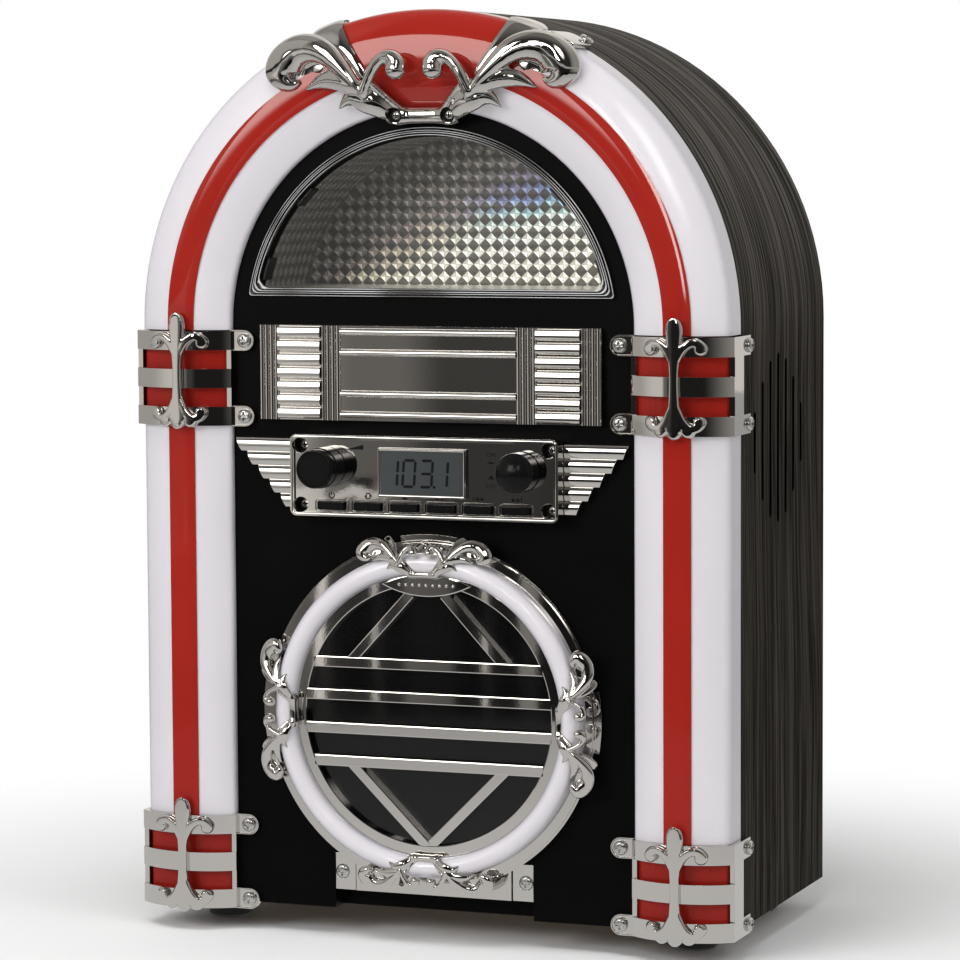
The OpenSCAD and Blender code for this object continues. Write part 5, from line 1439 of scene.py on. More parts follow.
class JUKEBOX_OT_window(PieceMaker, bpy.types.Operator):
    """Glaze the window, ridge its rim and line the tray with prismatic sheet"""

    bl_idname = "jukebox.window"
    bl_label = "Window"

    # The rim's section, and its polished edges with their radius: inset and height in millimetres
    RIDGES = [
        (0.0, 0.0), (0.0, 1.7), (0.35, 2.3), (0.7, 2.3), (0.95, 1.75), (1.25, 2.6), (1.55, 2.6), (1.8, 2.0),
        (2.1, 2.9), (2.4, 2.9), (2.65, 2.2), (2.95, 2.6), (3.2, 2.5), (3.4, 1.5), (3.4, 0.0),
    ]
    POLISHED = [(0.25, 2.1, 0.2), (1.4, 2.62, 0.17), (2.25, 2.95, 0.2), (3.3, 2.35, 0.22)]
    CORNER = 1.2 * MM

    PANE_INSET = 3.1 * MM
    PANE_BACK, PANE_FRONT = 0.2 * MM, 1.4 * MM

    # Tabs by their first and last bearings, in degrees
    TABS = [(14, 21), (40, 47), (133, 140), (159, 166)]
    TAB_GAP, TAB_WALL = 0.2 * MM, 0.9 * MM
    TAB_BACK, TAB_FRONT = -8 * MM, 0.15 * MM

    LINING_STEPS = 64
    LINING_OFF_BACK = 0.3 * MM
    LINING_FORWARD = 6.5 * MM

    def outline(self, inset):
        """Rounded half moon, drawn in from the rim's outside: points of x and z from the right-hand foot."""
        low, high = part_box("window_lens")
        radius, corner = high.x - inset, self.CORNER + inset
        foot = low.z - ARCH_Z + inset + corner
        heel = math.sqrt((radius - corner) ** 2 - foot ** 2)
        lean = math.atan2(foot, heel)
        half = arc((heel, foot), corner, spread(-QUARTER_TURN, lean, 8))
        half += arc((0, 0), radius, spread(lean, QUARTER_TURN, 48)[1:])
        return [(x, ARCH_Z + z) for x, z in half + [(-x, z) for x, z in reversed(half[:-1])]]

    def loop(self, inset, forward):
        """The outline at an inset and a height before the panel, in millimetres."""
        return [at(x, forward * MM, z) for x, z in self.outline(inset * MM)]

    def rim(self):
        """Ridged rim of clear plastic."""
        bm = bmesh.new()
        add_skin(bm, [self.loop(*spot) for spot in self.RIDGES])
        piece(drawn(bm, "window_rim"), "rim", "body", ["window_lens"], 25)

    def rim_edges(self):
        """Polished edges of the clear rim, which catch the light as fine lines, helped by painted highlights
        in their finish.
        """
        bm = bmesh.new()
        for inset, forward, r in self.POLISHED:
            add_skin(bm, [self.loop(*spot) for spot in arc((inset, forward), r, round_turn(6))])
        piece(drawn(bm, "window_rim_edges"), "rim_edge", "body", ["window_lens"], 80)

    def pane(self):
        bm = bmesh.new()
        add_prism(bm, self.outline(self.PANE_INSET), self.PANE_BACK, self.PANE_FRONT)
        piece(drawn(bm, "window_pane"), "clear", "body", ["window_lens"])

    def tabs(self):
        """Tabs that hold the pane, on the tray's wall behind the rim."""
        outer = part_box("prism_foil")[1].x - self.TAB_GAP
        middle = (0, ARCH_Z)
        bm = bmesh.new()
        for first, last in self.TABS:
            turns = spread(math.radians(first), math.radians(last), 8)
            edge = arc(middle, outer, turns) + arc(middle, outer - self.TAB_WALL, turns[::-1])
            add_prism(bm, edge, self.TAB_BACK, self.TAB_FRONT)
        piece(drawn(bm, "lens_tabs"), "tab", "body", ["window_lens"])

    def lining(self, tile):
        """Sheet on the tray's back and inner walls, mapped in tiles along each wall."""
        low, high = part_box("prism_foil")
        radius = high.x
        lean = math.asin((low.z - ARCH_Z) / radius)
        turns = spread(lean, math.pi - lean, self.LINING_STEPS)
        rim = arc((0, ARCH_Z), radius, turns)
        back, front = high.y - self.LINING_OFF_BACK, low.y - self.LINING_FORWARD
        deep = (back - front) / tile
        bm = bmesh.new()
        uv = bm.loops.layers.uv.new("tiles")

        def wall(points, marks):
            face = bm.faces.new([bm.verts.new(point) for point in points])
            for loop, mark in zip(face.loops, marks):
                loop[uv].uv = mark

        wall([(x, back, z) for x, z in rim], [(x / tile, (z - ARCH_Z) / tile) for x, z in rim])
        lengths = [turn * radius / tile for turn in turns]
        for (x0, z0), (x1, z1), s0, s1 in zip(rim, rim[1:], lengths, lengths[1:]):
            wall(
                [(x0, front, z0), (x1, front, z1), (x1, back, z1), (x0, back, z0)],
                [(0, s0), (0, s1), (deep, s1), (deep, s0)],
            )
        (x0, z), (x1, _) = rim[0], rim[-1]
        wall(
            [(x0, front, z), (x0, back, z), (x1, back, z), (x1, front, z)],
            [(x0 / tile, 0), (x0 / tile, deep), (x1 / tile, deep), (x1 / tile, 0)],
        )
        piece(link("prism_lining", raw_mesh(bm, "prism_lining")), "prism", "body", ["prism_foil"])

    def build(self, sizes):
        self.rim()
        self.rim_edges()
        self.pane()
        self.tabs()
        self.lining(sizes.tile)
        paint("window_tray")


class JUKEBOX_OT_controls(PieceMaker, bpy.types.Operator):
    """Plate the title plate, wings and control housing, and dress the display, knobs and buttons"""

    bl_idname = "jukebox.controls"
    bl_label = "Controls"

    BUTTONS = ("power", "repeat", "stop", "play", "back", "next")
    BUTTON_EDGE = 0.5 * MM

    # Sections of the beads: inset and height in millimetres
    HOUSING_BEAD = [
        (0, 9.4), (0.08, 10.1), (0.35, 10.55), (0.8, 10.75), (1.2, 10.7), (1.6, 10.4), (1.9, 9.9), (2, 9.4),
    ]
    DISPLAY_BEAD = [(0, 11), (0.1, 11.6), (0.4, 11.95), (0.75, 12), (1.1, 11.8), (1.4, 11.4), (1.4, 11)]
    BUTTON_BEAD = [(0, 9.2), (0.04, 10), (0.18, 10.2), (0.36, 10.2), (0.5, 10), (0.5, 9.2)]

    # A rib of the title plate: its section in millimetres, half its length, and how the ribs stand
    RIB = [
        (-2.55, 0), (-2.4, 1.4), (-2, 2.1), (-1.3, 2.42), (-0.6, 2.5), (0.2, 2.423), (0.9, 2.312),
        (1.6, 2.15), (2.1, 2), (2.45, 1.5), (2.55, 0),
    ]
    RIB_HALF, RIB_COUNT = 10.1 * MM, 7
    RIB_FROM_END, RIB_FOOT = 19.7 * MM, 3 * MM

    # The display's number: segments of each digit, and the digits with their places in millimetres
    DISPLAY_BACK, DISPLAY_FACE = 10.8 * MM, 11.3 * MM
    SEGMENTS = {"0": "abcdef", "1": "bc", "3": "abgcd"}
    NUMBER = (("1", -14.2), ("0", -6), ("3", 2.2), ("1", 9.4))
    DIGIT_TALL, DIGIT_WIDE, DIGIT_LINE, DIGIT_LEAN = 11.6 * MM, 5.5 * MM, 1.25 * MM, 0.07
    DIGIT_DROP = 0.2 * MM
    POINT_X, POINT_RADIUS = 5.9 * MM, 0.7 * MM
    INK_BACK, INK_FRONT = 0.02 * MM, 0.06 * MM

    # Signs on the housing's face
    FACE_SINK = 1.6 * MM
    SIGN_LINE = 0.5 * MM
    SIGN_RADIUS = 1.5 * MM
    SIGN_RISE = 2.4 * MM
    SWITCH_SIGN_GAP = 5.2 * MM
    WORD_SIZE, WORD_DEPTH = 2.9 * MM, 0.03 * MM

    # The volume knob: share of its radius, and depth behind its front in millimetres
    KNOB = [
        (0, 0.9), (0.8, 0.9), (0.84, 0.4), (0.88, 0), (0.93, 0.15), (0.955, 0.7), (0.96, 5.2), (0.93, 5.5),
        (0.93, 5.9), (1, 6.3), (1, 14.4), (0.97, 14.75),
    ]
    KNOB_SHAFT = 3 * MM

    def bead(self, name, nodes, margin, corner, profile):
        """Rounded beads round the boxes of solids, grown by a margin."""
        grown = Vector((margin, 0, margin))
        bm = bmesh.new()
        for node in nodes:
            low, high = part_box(node)
            low, high = low - grown, high + grown
            add_skin(bm, [
                [at(x, forward * MM, z) for x, z in rounded_box(low, high, inset * MM, corner)]
                for inset, forward in profile
            ])
        piece(drawn(bm, name), "chrome", "body", (), 40)

    def display(self):
        """Display glass in a thin plated frame."""
        self.bead("display_frame", ["lcd_panel"], 1.4 * MM, 0.6 * MM, self.DISPLAY_BEAD)
        low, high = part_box("lcd_panel")
        bm = bmesh.new()
        add_prism(bm, rounded_box(low, high, -0.1 * MM, 0.3 * MM), self.DISPLAY_BACK, self.DISPLAY_FACE)
        piece(drawn(bm, "display_glass"), "lcd", "body", ["lcd_panel"])

    def ribs(self):
        """Crowned ribs at both ends of the title plate."""
        low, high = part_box("title_plate")
        pitch = (high.z - low.z) / self.RIB_COUNT
        bm = bmesh.new()
        add_skin(bm, [[(side * self.RIB_HALF, y * MM, z * MM) for y, z in self.RIB] for side in SIDES], "CAP")
        shape = drawn(bm, "rib")
        seats = [
            (at(side * (high.x - self.RIB_FROM_END), self.RIB_FOOT, low.z + (i + 0.5) * pitch), FORWARD)
            for side in SIDES for i in range(self.RIB_COUNT)
        ]
        piece(stood("title_ribs", "Ribs on Plate", shape, seats, "chrome"), "chrome", "body", (), 40)
        bpy.data.objects.remove(shape)

    def digits(self):
        """Dark segments on the display, set in a shallow lean."""
        low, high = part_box("lcd_panel")
        middle = (low.z + high.z) / 2 - self.DIGIT_DROP
        thick = self.DIGIT_LINE
        bm = bmesh.new()

        def print_on(outline):
            add_prism(bm, outline, self.DISPLAY_FACE + self.INK_BACK, self.DISPLAY_FACE + self.INK_FRONT)

        def bar(x0, z0, x1, z1, shift):
            run = Vector((x1 - x0, z1 - z0)).normalized()
            side = Vector((-run.y, run.x)) * thick / 2
            a = Vector((x0, z0)) + run * thick * 0.16
            b = Vector((x1, z1)) - run * thick * 0.16
            tip = run * thick / 2
            corners = [a, a + tip + side, b - tip + side, b, b - tip - side, a + tip - side]
            print_on([(shift + p.x + p.y * self.DIGIT_LEAN, middle + p.y) for p in corners])

        h, w = self.DIGIT_TALL / 2, self.DIGIT_WIDE / 2
        places = {
            "a": (-w, h, w, h), "b": (w, h, w, 0), "c": (w, 0, w, -h), "d": (-w, -h, w, -h),
            "e": (-w, 0, -w, -h), "f": (-w, h, -w, 0), "g": (-w, 0, w, 0),
        }
        for digit, x in self.NUMBER:
            for key in self.SEGMENTS[digit]:
                bar(*places[key], x * MM)
        print_on(arc((self.POINT_X, middle - h), self.POINT_RADIUS, round_turn(10)))
        piece(drawn(bm, "display_digits"), "ink")

    def sign_face(self):
        """Height of the housing's face before the panel."""
        return FACE_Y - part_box("control_housing")[0].y - self.FACE_SINK

    def switch_sign_spot(self):
        """Middle of the signs beside the light button."""
        low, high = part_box("light_button")
        return low.x - self.SWITCH_SIGN_GAP, (low.z + high.z) / 2

    def symbols(self):
        """Plain signs above the push buttons and beside the knobs."""
        face = self.sign_face()
        line, radius = self.SIGN_LINE, self.SIGN_RADIUS
        bm = bmesh.new()

        def plate(points):
            add_prism(bm, points, face - 0.02 * MM, face + 0.05 * MM)

        def box(x, z, wide, tall):
            w, h = wide / 2, tall / 2
            plate([(x - w, z - h), (x + w, z - h), (x + w, z + h), (x - w, z + h)])

        def arrow(x, z, size, way):
            half = size / 2
            plate([(x - way * half, z - half), (x + way * half, z), (x - way * half, z + half)])

        def ring(x, z, start, end):
            turns = spread(math.radians(start), math.radians(end), 20)
            outer, inner = (arc((x, z), r, turns) for r in (radius, radius - line))
            for k in range(len(turns) - 1):
                plate([outer[k], outer[k + 1], inner[k + 1], inner[k]])

        spots = {}
        for key in self.BUTTONS:
            low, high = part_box(key + "_button")
            spots[key] = ((low.x + high.x) / 2, high.z + self.SIGN_RISE)
        x, z = spots["power"]
        ring(x, z, 125, 415)
        box(x, z + 0.9 * MM, line, 1.6 * MM)
        x, z = spots["repeat"]
        for start in (20, 200):
            ring(x, z, start, start + 130)
        for way in (1, -1):
            arrow(x + way * 1.35 * MM, z + way * 0.1 * MM, 1.4 * MM, way)
        x, z = spots["stop"]
        box(x, z, 2.2 * MM, 2.2 * MM)
        x, z = spots["play"]
        arrow(x - 1.4 * MM, z, 2.3 * MM, 1)
        for k in (0.7, 1.8):
            box(x + k * MM, z, 0.65 * MM, 2.2 * MM)
        for key, way in (("back", -1), ("next", 1)):
            x, z = spots[key]
            for k in (-1.05, 1.05):
                arrow(x + k * MM, z, 2.1 * MM, way)
            box(x + way * 2.4 * MM, z, line, 2.1 * MM)
        x, z = self.switch_sign_spot()
        for rise, h in ((3.4 * MM, 0.7 * MM), (-3.4 * MM, 1.3 * MM)):
            box(x, z + rise, 3.2 * MM, line)
            box(x, z + rise + h / 2, 1.7 * MM, h)
        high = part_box("volume_knob")[1]
        x, z, half = high.x + 4.6 * MM, high.z - 1.0 * MM, 4 * MM
        plate([(x - half, z), (x + half, z), (x + half, z + 2.2 * MM)])
        piece(drawn(bm, "control_signs"), "ink")

    def words(self):
        """ON and OFF beside the light button."""
        x, z = self.switch_sign_spot()
        bm = bmesh.new()
        for word, rise in (("ON", 6.2 * MM), ("OFF", -7.6 * MM)):
            curve = bpy.data.curves.new("word", "FONT")
            curve.body = word
            curve.size = self.WORD_SIZE
            curve.align_x = "CENTER"
            curve.extrude = self.WORD_DEPTH
            holder = link("word", curve)
            mesh = evaluated(holder)
            mesh.transform(Matrix.Translation(at(x, self.sign_face(), z + rise)) @ UPRIGHT)
            bm.from_mesh(mesh)
            bpy.data.objects.remove(holder)
        piece(link("switch_words", raw_mesh(bm, "switch_words")), "ink")

    def knob(self):
        """Volume knob: a dished cap over a groove, a plain grip and a shaft."""
        low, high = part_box("volume_knob")
        centre = Vector(((low.x + high.x) / 2, 0, (low.z + high.z) / 2))
        r, front, back = (high.x - low.x) / 2, -low.y, -high.y
        profile = [(r * share, front - depth * MM) for share, depth in self.KNOB]
        profile += [(self.KNOB_SHAFT, profile[-1][1]), (self.KNOB_SHAFT, back), (0, back)]
        bm = bmesh.new()
        add_lathe(bm, profile, centre, 96)
        piece(drawn(bm, "volume_cap"), "knob_black", "volume_knob", ["volume_knob"], 30)

    def build(self, sizes):
        for node in ("title_plate", "left_wing", "right_wing"):
            rounded_copy(node, sizes.edge_round * 0.7)
        rounded_copy("control_housing", sizes.edge_round * 3, 3)
        buttons = [key + "_button" for key in self.BUTTONS]
        for node in buttons:
            rounded_copy(node, self.BUTTON_EDGE, 3)
        self.bead("button_rims", buttons, 0.75 * MM, 1.65 * MM, self.BUTTON_BEAD)
        self.display()
        self.bead("housing_rim", ["control_housing"], 0, 3 * MM, self.HOUSING_BEAD)
        self.ribs()
        self.digits()
        self.symbols()
        self.words()
        self.knob()
        rounded_copy("light_button", self.BUTTON_EDGE, 3)
        paint("control_board", "volume_pot", "light_switch")


class JUKEBOX_OT_door(PieceMaker, bpy.types.Operator):
    """Dress the CD door: frame, light ring, grille, window and ornaments"""

    bl_idname = "jukebox.door"
    bl_label = "CD Door"

    TURNED_SIDES = 144
    RING_WIDTH = 9.05 * MM

    # The grille: slopes along a bar's edge by inset and height, half widths, and places, in millimetres
    EDGE = [(0, 3), (0, 6.05), (0.06, 6.2), (0.44, 6.3)]
    GRILLE_RING = 5
    HALF_LEVEL, HALF_SLANT = 2.45, 2.25
    OVERLAP = 0.5
    # Heights of the level bars and the reach of the slanting ones, as shares of the grille's radius
    LEVELS = (-0.3523, -0.1185, 0.1185, 0.3523)
    SLANT_REACH = 0.592
    # Slanting bars lie a little deeper, each by its own amount, so that no two faces fall together
    SLANT_SINK, SLANT_SHIFT = 0.08, 0.02

    # The push tab: half its width and height, its edge by inset and height, and its pips, in millimetres
    TAB_HALF, TAB_TALL = 21.3, 5.1
    TAB_EDGE = [(0, 3), (0, 6.85), (0.08, 6.98), (0.5, 7.1)]
    PIP_RADIUS, PIP_SQUASH, PIP_PITCH = 0.75 * MM, 0.6, 3.2 * MM
    PIP_DROP = 14.3 * MM

    # The ornaments: the crest's scrolls made smaller and leant back
    TILT = math.radians(14)
    ORNAMENT_SCALE = 0.44
    ORNAMENT_TOP = 39 * MM
    ORNAMENT_FORWARD = 7.5 * MM
    ORNAMENT_GRAIN = 1.25

    def turned(self, bm, section):
        """Adds a closed section, of radius and height, turned round the door's middle."""
        add_lathe(bm, section + section[:1], at(0, 0, DOOR_Z), self.TURNED_SIDES)
        bmesh.ops.remove_doubles(bm, verts=bm.verts, dist=FINE_WELD)

    def ring(self):
        """Half-round light ring."""
        outer, r = RING_HIGH.x, self.RING_WIDTH / 2
        base, crown = FACE_Y - RING_HIGH.y, FACE_Y - RING_LOW.y
        round_top = arc((outer - r, crown - r), r, spread(math.pi, 0, 24))
        bm = bmesh.new()
        self.turned(bm, [(outer - self.RING_WIDTH, base)] + round_top + [(outer, base)])
        piece(drawn(bm, "door_ring"), "white_tube", "door", ["door_light_ring"], 50)

    def across(self, half):
        """Section of a bar: a flat face between slim slopes, in millimetres across and forward."""
        left = [(-half + inset, f) for inset, f in self.EDGE]
        return left + [(-w, f) for w, f in reversed(left)]

    def add_bar(self, bm, start, end, half, sink=0.0):
        """Bar of the grille between two points of x and z, in millimetres from the door's centre."""
        start, end = Vector(start), Vector(end)
        run = (end - start).normalized()
        side = Vector((-run.y, run.x))
        loops = []
        for spot in (start, end):
            corners = [(spot + side * w, f - sink) for w, f in self.across(half)]
            loops.append([at(c.x * MM, f * MM, DOOR_Z + c.y * MM) for c, f in corners])
        add_skin(bm, loops, "CAP")

    def tab_outline(self, inset):
        """Lens of the push tab, drawn in by an inset, in millimetres from the door's centre."""
        w, h = self.TAB_HALF - 2.6 * inset, self.TAB_TALL - inset
        r = (w * w + h * h) / (2 * h)
        bend = math.asin(w / r)
        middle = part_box("door_grille")[1].x / MM - self.TAB_TALL
        upper = bow((0, middle + h - r), r, spread(-bend, bend, 24)[:-1])
        return upper + [(-x, 2 * middle - z) for x, z in upper]

    def grille(self):
        """Ring, bars and push tab, with slopes along their edges that catch the light."""
        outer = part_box("door_grille")[1].x / MM
        inner = outer - self.GRILLE_RING
        ring = [((inner + outer) / 2 + w, f) for w, f in self.across(self.GRILLE_RING / 2)]
        bm = bmesh.new()
        self.turned(bm, [(r * MM, f * MM) for r, f in ring])
        levels = [share * outer for share in self.LEVELS]
        for z in levels:
            reach = math.sqrt(inner ** 2 - z ** 2) + self.OVERLAP
            self.add_bar(bm, (-reach, z), (reach, z), self.HALF_LEVEL)
        foot = self.SLANT_REACH * outer
        for side in SIDES:
            sink = self.SLANT_SINK + side * self.SLANT_SHIFT
            upper = (side * 8, outer - 9.2), (side * foot, levels[-1])
            lower = (side * foot, levels[0]), (side * 0.6, -inner - self.OVERLAP)
            for start, end in (upper, lower):
                self.add_bar(bm, start, end, self.HALF_SLANT, sink)
        loops = [[at(x * MM, f * MM, DOOR_Z + z * MM) for x, z in self.tab_outline(inset)]
                 for inset, f in self.TAB_EDGE]
        add_skin(bm, loops, "CAP")
        piece(drawn(bm, "grille"), "chrome", "door", ["door_grille"], 8)

    def ornaments(self, sizes):
        """Four sets of scrolls round the ring."""
        casting = scroll_casting(sizes.casting_grain * self.ORNAMENT_GRAIN, True)
        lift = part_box("door_ornaments")[1].x - self.ORNAMENT_TOP * self.ORNAMENT_SCALE
        stance = (
            Matrix.Translation((0, -self.ORNAMENT_FORWARD, lift))
            @ Matrix.Rotation(QUARTER_TURN - self.TILT, 4, "X") @ Matrix.Scale(self.ORNAMENT_SCALE, 4)
        )
        for quarter, name in enumerate(("top", "right", "bottom", "left")):
            turn = Matrix.Rotation(quarter * QUARTER_TURN, 4, "Y")
            mesh = placed(casting, Matrix.Translation(at(0, 0, DOOR_Z)) @ turn @ stance)
            piece(link("door_scroll_" + name, mesh), "chrome", "door", ["door_ornaments"], 60)

    def pips(self, sizes):
        """Row of raised pips on the push tab."""
        bm = bmesh.new()
        bmesh.ops.create_uvsphere(bm, u_segments=14, v_segments=7, radius=self.PIP_RADIUS)
        bmesh.ops.scale(bm, vec=(1, 1, self.PIP_SQUASH), verts=bm.verts)
        shape = drawn(bm, "pip")
        face = FACE_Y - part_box("door_grille")[0].y
        z = DOOR_Z + RING_HIGH.x - self.PIP_DROP
        middle = (sizes.tab_pips - 1) / 2
        seats = [(at((i - middle) * self.PIP_PITCH, face, z), FORWARD) for i in range(sizes.tab_pips)]
        piece(stood("push_tab_pips", "Pips on Tab", shape, seats, "chrome"), "chrome", "door")
        bpy.data.objects.remove(shape)

    def build(self, sizes):
        for node in ("door_frame", "hinge_blocks"):
            rounded_copy(node, sizes.edge_round * 1.9, 3)
        self.grille()
        self.ring()
        self.ornaments(sizes)
        self.pips(sizes)
        paint("door_window", "hinge_pin", "door_latch")


class JUKEBOX_OT_works(PieceMaker, bpy.types.Operator):
    """Finish the disc deck and the electrics inside"""

    bl_idname = "jukebox.works"
    bl_label = "Works"

    def build(self, sizes):
        paint(
            "cd_well", "deck_chassis", "spindle_motor", "sled_rails", "turntable", "laser_pickup",
            "main_board", "transformer", "left_speaker", "right_speaker", "power_inlet",
        )


class JUKEBOX_OT_stage(PieceMaker, bpy.types.Operator):
    """Set the camera, the pale floor, the soft lamps and the cards that plated faces mirror"""

    bl_idname = "jukebox.stage"
    bl_label = "Stage"

    # The camera's place and the point it looks at: across, before the panel and up, in metres
    CAMERA_SPOT = (0.6262, 1.5693, 0.3506)
    CAMERA_LOOK = (0.02315, 0, 0.20768)
    CAMERA_ROLL = math.radians(-0.31)
    LENS, SENSOR = 143.73, 36
    LAMP_AIM = Vector((0, 0, 0.25))
    # Lamps: bearing and height in degrees, distance and size in metres, power in watts
    LAMPS = {
        "key_softbox": (-27, 22, 2.4, (1.5, 0.9), 25),
        "side_softbox": (68, 28, 2.0, (0.8, 1.2), 8),
        "top_softbox": (-10, 70, 1.9, (1.2, 0.9), 18),
    }
    CARD_RADIUS = 0.72
    CARD_HEIGHTS = (0.002, 0.15, 0.27)
    CARD_FROM, CARD_TO = math.radians(-112), math.radians(94)

    def camera(self):
        data = bpy.data.cameras.new("front_camera")
        data.sensor_width = self.SENSOR
        data.lens = self.LENS
        data.clip_end = 50
        made = link("front_camera", data)
        spot = at(*self.CAMERA_SPOT)
        look = at(*self.CAMERA_LOOK) - spot
        turn = look.to_track_quat("-Z", "Y").to_matrix() @ Matrix.Rotation(self.CAMERA_ROLL, 3, "Z")
        made.matrix_world = Matrix.Translation(spot) @ turn.to_4x4()
        bpy.context.scene.camera = made

    def lamp(self, name, bearing, rise, far, size, power):
        """Soft lamp round the object, which neither the camera nor a mirror sees."""
        data = bpy.data.lights.new(name, "AREA")
        data.shape = "RECTANGLE"
        data.size, data.size_y = size
        data.energy = power
        made = link(name, data)
        bearing, rise = math.radians(bearing), math.radians(rise)
        away = Vector((
            math.sin(bearing) * math.cos(rise), -math.cos(bearing) * math.cos(rise), math.sin(rise)))
        turn = (-away).to_track_quat("-Z", "Y").to_matrix().to_4x4()
        made.matrix_world = Matrix.Translation(self.LAMP_AIM + away * far) @ turn
        made.visible_camera = False
        made.visible_glossy = False

    def rays(self, tree, *kinds):
        """1 for rays of the named kinds."""
        path = tree.node("ShaderNodeLightPath").out.node.outputs
        seen = [Socket(tree, path["Is " + kind + " Ray"]) for kind in kinds]
        return sum(seen[1:], seen[0]).math("MINIMUM", 1.0)

    def world(self):
        """White for the camera and for mirrors, and a dimmer white as light."""
        world = bpy.data.worlds.new("studio")
        world.use_nodes = True
        bpy.context.scene.world = world
        tree = Tree(world.node_tree)
        ground = world.node_tree.nodes["Background"]
        ground.inputs["Color"].default_value = (1, 1, 1, 1)
        seen = self.rays(tree, "Camera", "Glossy", "Transmission")
        tree.feed(ground.inputs["Strength"], seen * 0.56 + 0.44)

    def floor(self):
        """Pale floor that keeps the shadow near the object, and is grey in mirrors, with painted shade that
        makes it darker there near the object.
        """
        bm = bmesh.new()
        bmesh.ops.create_circle(bm, cap_ends=True, segments=96, radius=6)
        made = drawn(bm, "floor")
        f = Finish("pale_floor", base=(0.86, 0.86, 0.86), rough=0.6, specular=0.1)
        x, y, _ = f.xyz()
        reach = (x * x + y * y).math("SQRT")
        # Painted shade: the floor seen in mirrors is darker near the object
        tint = f.blend(1 - reach.smooth(0.2, 0.9), (0.4, 0.392, 0.384), (0.62, 0.61, 0.6))
        white, grey = (
            f.node("ShaderNodeEmission", None, {"Color": colour, "Strength": 1.0})
            for colour in ((1, 1, 1, 1), tint)
        )
        away = self.rays(f, "Camera", "Transmission") * reach.smooth(0.16, 0.5)
        shaded = f.mix_shaders(away, f.own_shader(), white)
        f.show(f.mix_shaders(self.rays(f, "Glossy"), shaded, grey))
        made.data.materials.append(f.material)

    def mirror_card(self, bm, name, tone_of):
        """Glowing card that only mirror rays see; its tone follows the place on it."""
        made = drawn(bm, name)
        material = bpy.data.materials.new(name)
        material.use_nodes = True
        material.node_tree.nodes.clear()
        f = Tree(material.node_tree)
        x, y, z = f.xyz()
        bearing = x.math("ARCTAN2", y * -1) * math.degrees(1)
        tone = tone_of(bearing, (x * x + y * y).math("SQRT"), z)
        colour = f.vector(tone, tone * 0.955, tone * 0.9)
        glow = f.node("ShaderNodeEmission", None, {"Color": colour, "Strength": 1.0})
        out = material.node_tree.nodes.new("ShaderNodeOutputMaterial")
        f.feed(out.inputs["Surface"], glow)
        made.data.materials.append(material)
        made.visible_camera = False
        made.visible_diffuse = False
        made.visible_shadow = False
        made.visible_transmission = False

    def dome(self):
        """Studio over the object: a broad pale softbox to the front left, a dark front and paler sides."""
        bm = bmesh.new()
        bmesh.ops.create_uvsphere(bm, u_segments=48, v_segments=24, radius=4)
        bmesh.ops.delete(bm, geom=[v for v in bm.verts if v.co.z < -0.01], context="VERTS")

        def tone(bearing, reach, z):
            rise = z.math("ARCTAN2", reach) * math.degrees(1)
            softbox = bearing.smooth(-35, -34) * (1 - bearing.smooth(-13, -12)) * rise.smooth(6, 12)
            softbox = softbox * (1 - rise.smooth(32.5, 33.5))
            strip = bearing.smooth(-5.6, -5.2) * (1 - bearing.smooth(-2.9, -2.5)) * rise.smooth(3, 4)
            strip = strip * (1 - rise.smooth(21, 25))
            glow = bearing.smooth(7, 11) * (1 - bearing.smooth(14, 19))
            glow = glow * rise.smooth(12, 22) * (1 - rise.smooth(28, 38))
            wall = (1 - bearing.smooth(-40, -34)) * (rise.smooth(4, 7) - rise.smooth(40, 50) * 0.6) * 0.42
            right = bearing.smooth(34, 58) * 0.28
            back = abs(bearing).smooth(108, 132) * 0.4
            above = rise.smooth(32, 62) * 0.15 + 0.03
            return above + softbox * 6 + strip * 12 + glow * 7 + wall + right + back

        self.mirror_card(bm, "studio_dome", tone)

    def front_card(self):
        """Low dark card before the front, streaked to its left, whose foot leaves the floor in sight."""
        bm = bmesh.new()
        line = bow((0, 0), self.CARD_RADIUS, spread(self.CARD_FROM, self.CARD_TO, 60))
        add_sheet(bm, [[(x, -out, z) for x, out in line] for z in self.CARD_HEIGHTS])

        def span(value, low, high, soft):
            return value.smooth(low - soft, low + soft) * (1 - value.smooth(high - soft, high + soft))

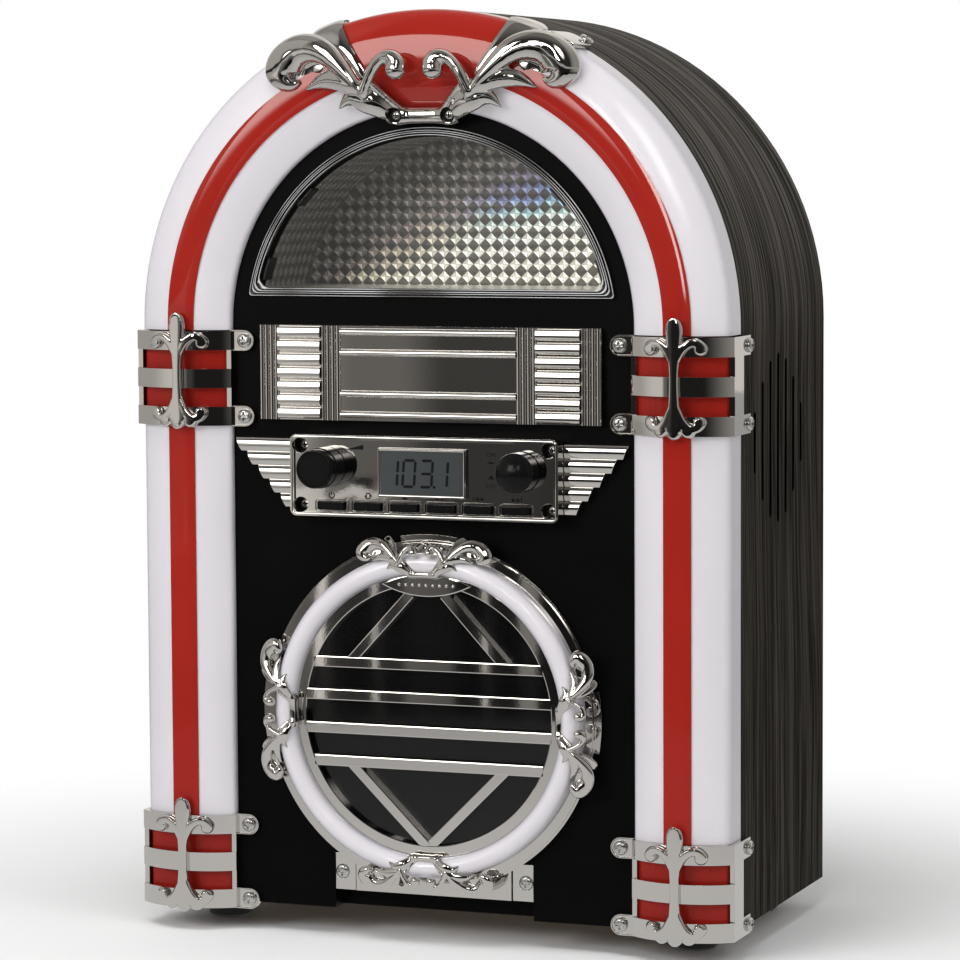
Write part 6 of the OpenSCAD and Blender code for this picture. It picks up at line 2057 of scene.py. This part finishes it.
        def tone(bearing, reach, z):
            tree = bearing.tree
            ripple = tree.noise(tree.vector(bearing * 0.8, z * 75, 0.0), 1.0, 3.0) - 0.5
            along, up = bearing + ripple * 2.2, z + ripple * 0.022
            left = 1 - bearing.smooth(-28, -23.5)
            far_left = (1 - bearing.smooth(-70, -38)) * 0.2
            dim = (1 - bearing.smooth(-21.5, -19)) * 0.085 + (1 - bearing.smooth(-16, -8)) * 0.035
            right = bearing.smooth(24, 70) * 0.26
            broad = left * 0.42 - far_left + dim + right + 0.012
            middle = span(z, 0.114, 0.182, 0.002)
            bright = span(along, -30, -24.6, 0.1) * span(up, 0.11, 0.15, 0.0006) * 0.4
            bright = bright + span(along, -24.2, -21.7, 0.1) * span(up, 0.139, 0.146, 0.0006) * 0.5
            dark = span(along, -23.4, -22.1, 0.1) * span(up, 0.147, 0.154, 0.0006) * 0.9
            low = 1 - z.smooth(0.108, 0.114)
            streaks = span(bearing, -25.4, -24.9, 0.05) * 0.7 + span(bearing, -22.6, -22.3, 0.04) * 0.5
            streaks = streaks + span(bearing, -21, -18.6, 0.3) * 0.1 + span(bearing, -17.2, -16.9, 0.04) * 0.5
            streaks = streaks + span(bearing, -15.4, -14.5, 0.1) * 0.22
            level = 1 - low * 0.7 + z.smooth(0.178, 0.184) * 0.25
            return broad * level * (1 - middle * dark) + middle * bright + low * streaks

        self.mirror_card(bm, "front_card", tone)

    def build(self, sizes):
        bpy.context.scene.view_settings.view_transform = "Standard"
        self.camera()
        self.world()
        self.floor()
        self.dome()
        self.front_card()
        for name, setting in self.LAMPS.items():
            self.lamp(name, *setting)


class JUKEBOX_PT_sidebar(bpy.types.Panel):
    """Lists the jukebox's pieces"""

    bl_label = "Jukebox"
    bl_idname = "JUKEBOX_PT_sidebar"
    bl_space_type = "VIEW_3D"
    bl_region_type = "UI"
    bl_category = "Jukebox"

    def draw(self, context):
        column = self.layout.column(align=True)
        for maker in MAKERS:
            column.operator(maker.bl_idname)
        for group in (context.scene.jukebox_sizes, context.scene.jukebox_colours):
            box = self.layout.box()
            for key in group.bl_rna.properties.keys():
                if key not in ("rna_type", "name"):
                    box.prop(group, key)


MAKERS = (
    JUKEBOX_OT_stage, JUKEBOX_OT_cabinet, JUKEBOX_OT_tubes, JUKEBOX_OT_brackets, JUKEBOX_OT_crest,
    JUKEBOX_OT_screws, JUKEBOX_OT_window, JUKEBOX_OT_controls, JUKEBOX_OT_door, JUKEBOX_OT_works,
)
CLASSES = (JukeboxSizes, JukeboxColours, *MAKERS, JUKEBOX_PT_sidebar)


def register():
    for cls in CLASSES:
        bpy.utils.register_class(cls)
    bpy.types.Scene.jukebox_sizes = PointerProperty(type=JukeboxSizes)
    bpy.types.Scene.jukebox_colours = PointerProperty(type=JukeboxColours)


def unregister():
    del bpy.types.Scene.jukebox_colours
    del bpy.types.Scene.jukebox_sizes
    for cls in reversed(CLASSES):
        bpy.utils.unregister_class(cls)


def main():
    register()
    for maker in MAKERS:
        group, name = maker.bl_idname.split(".")
        getattr(getattr(bpy.ops, group), name)()


if __name__ == "__main__":
    main()
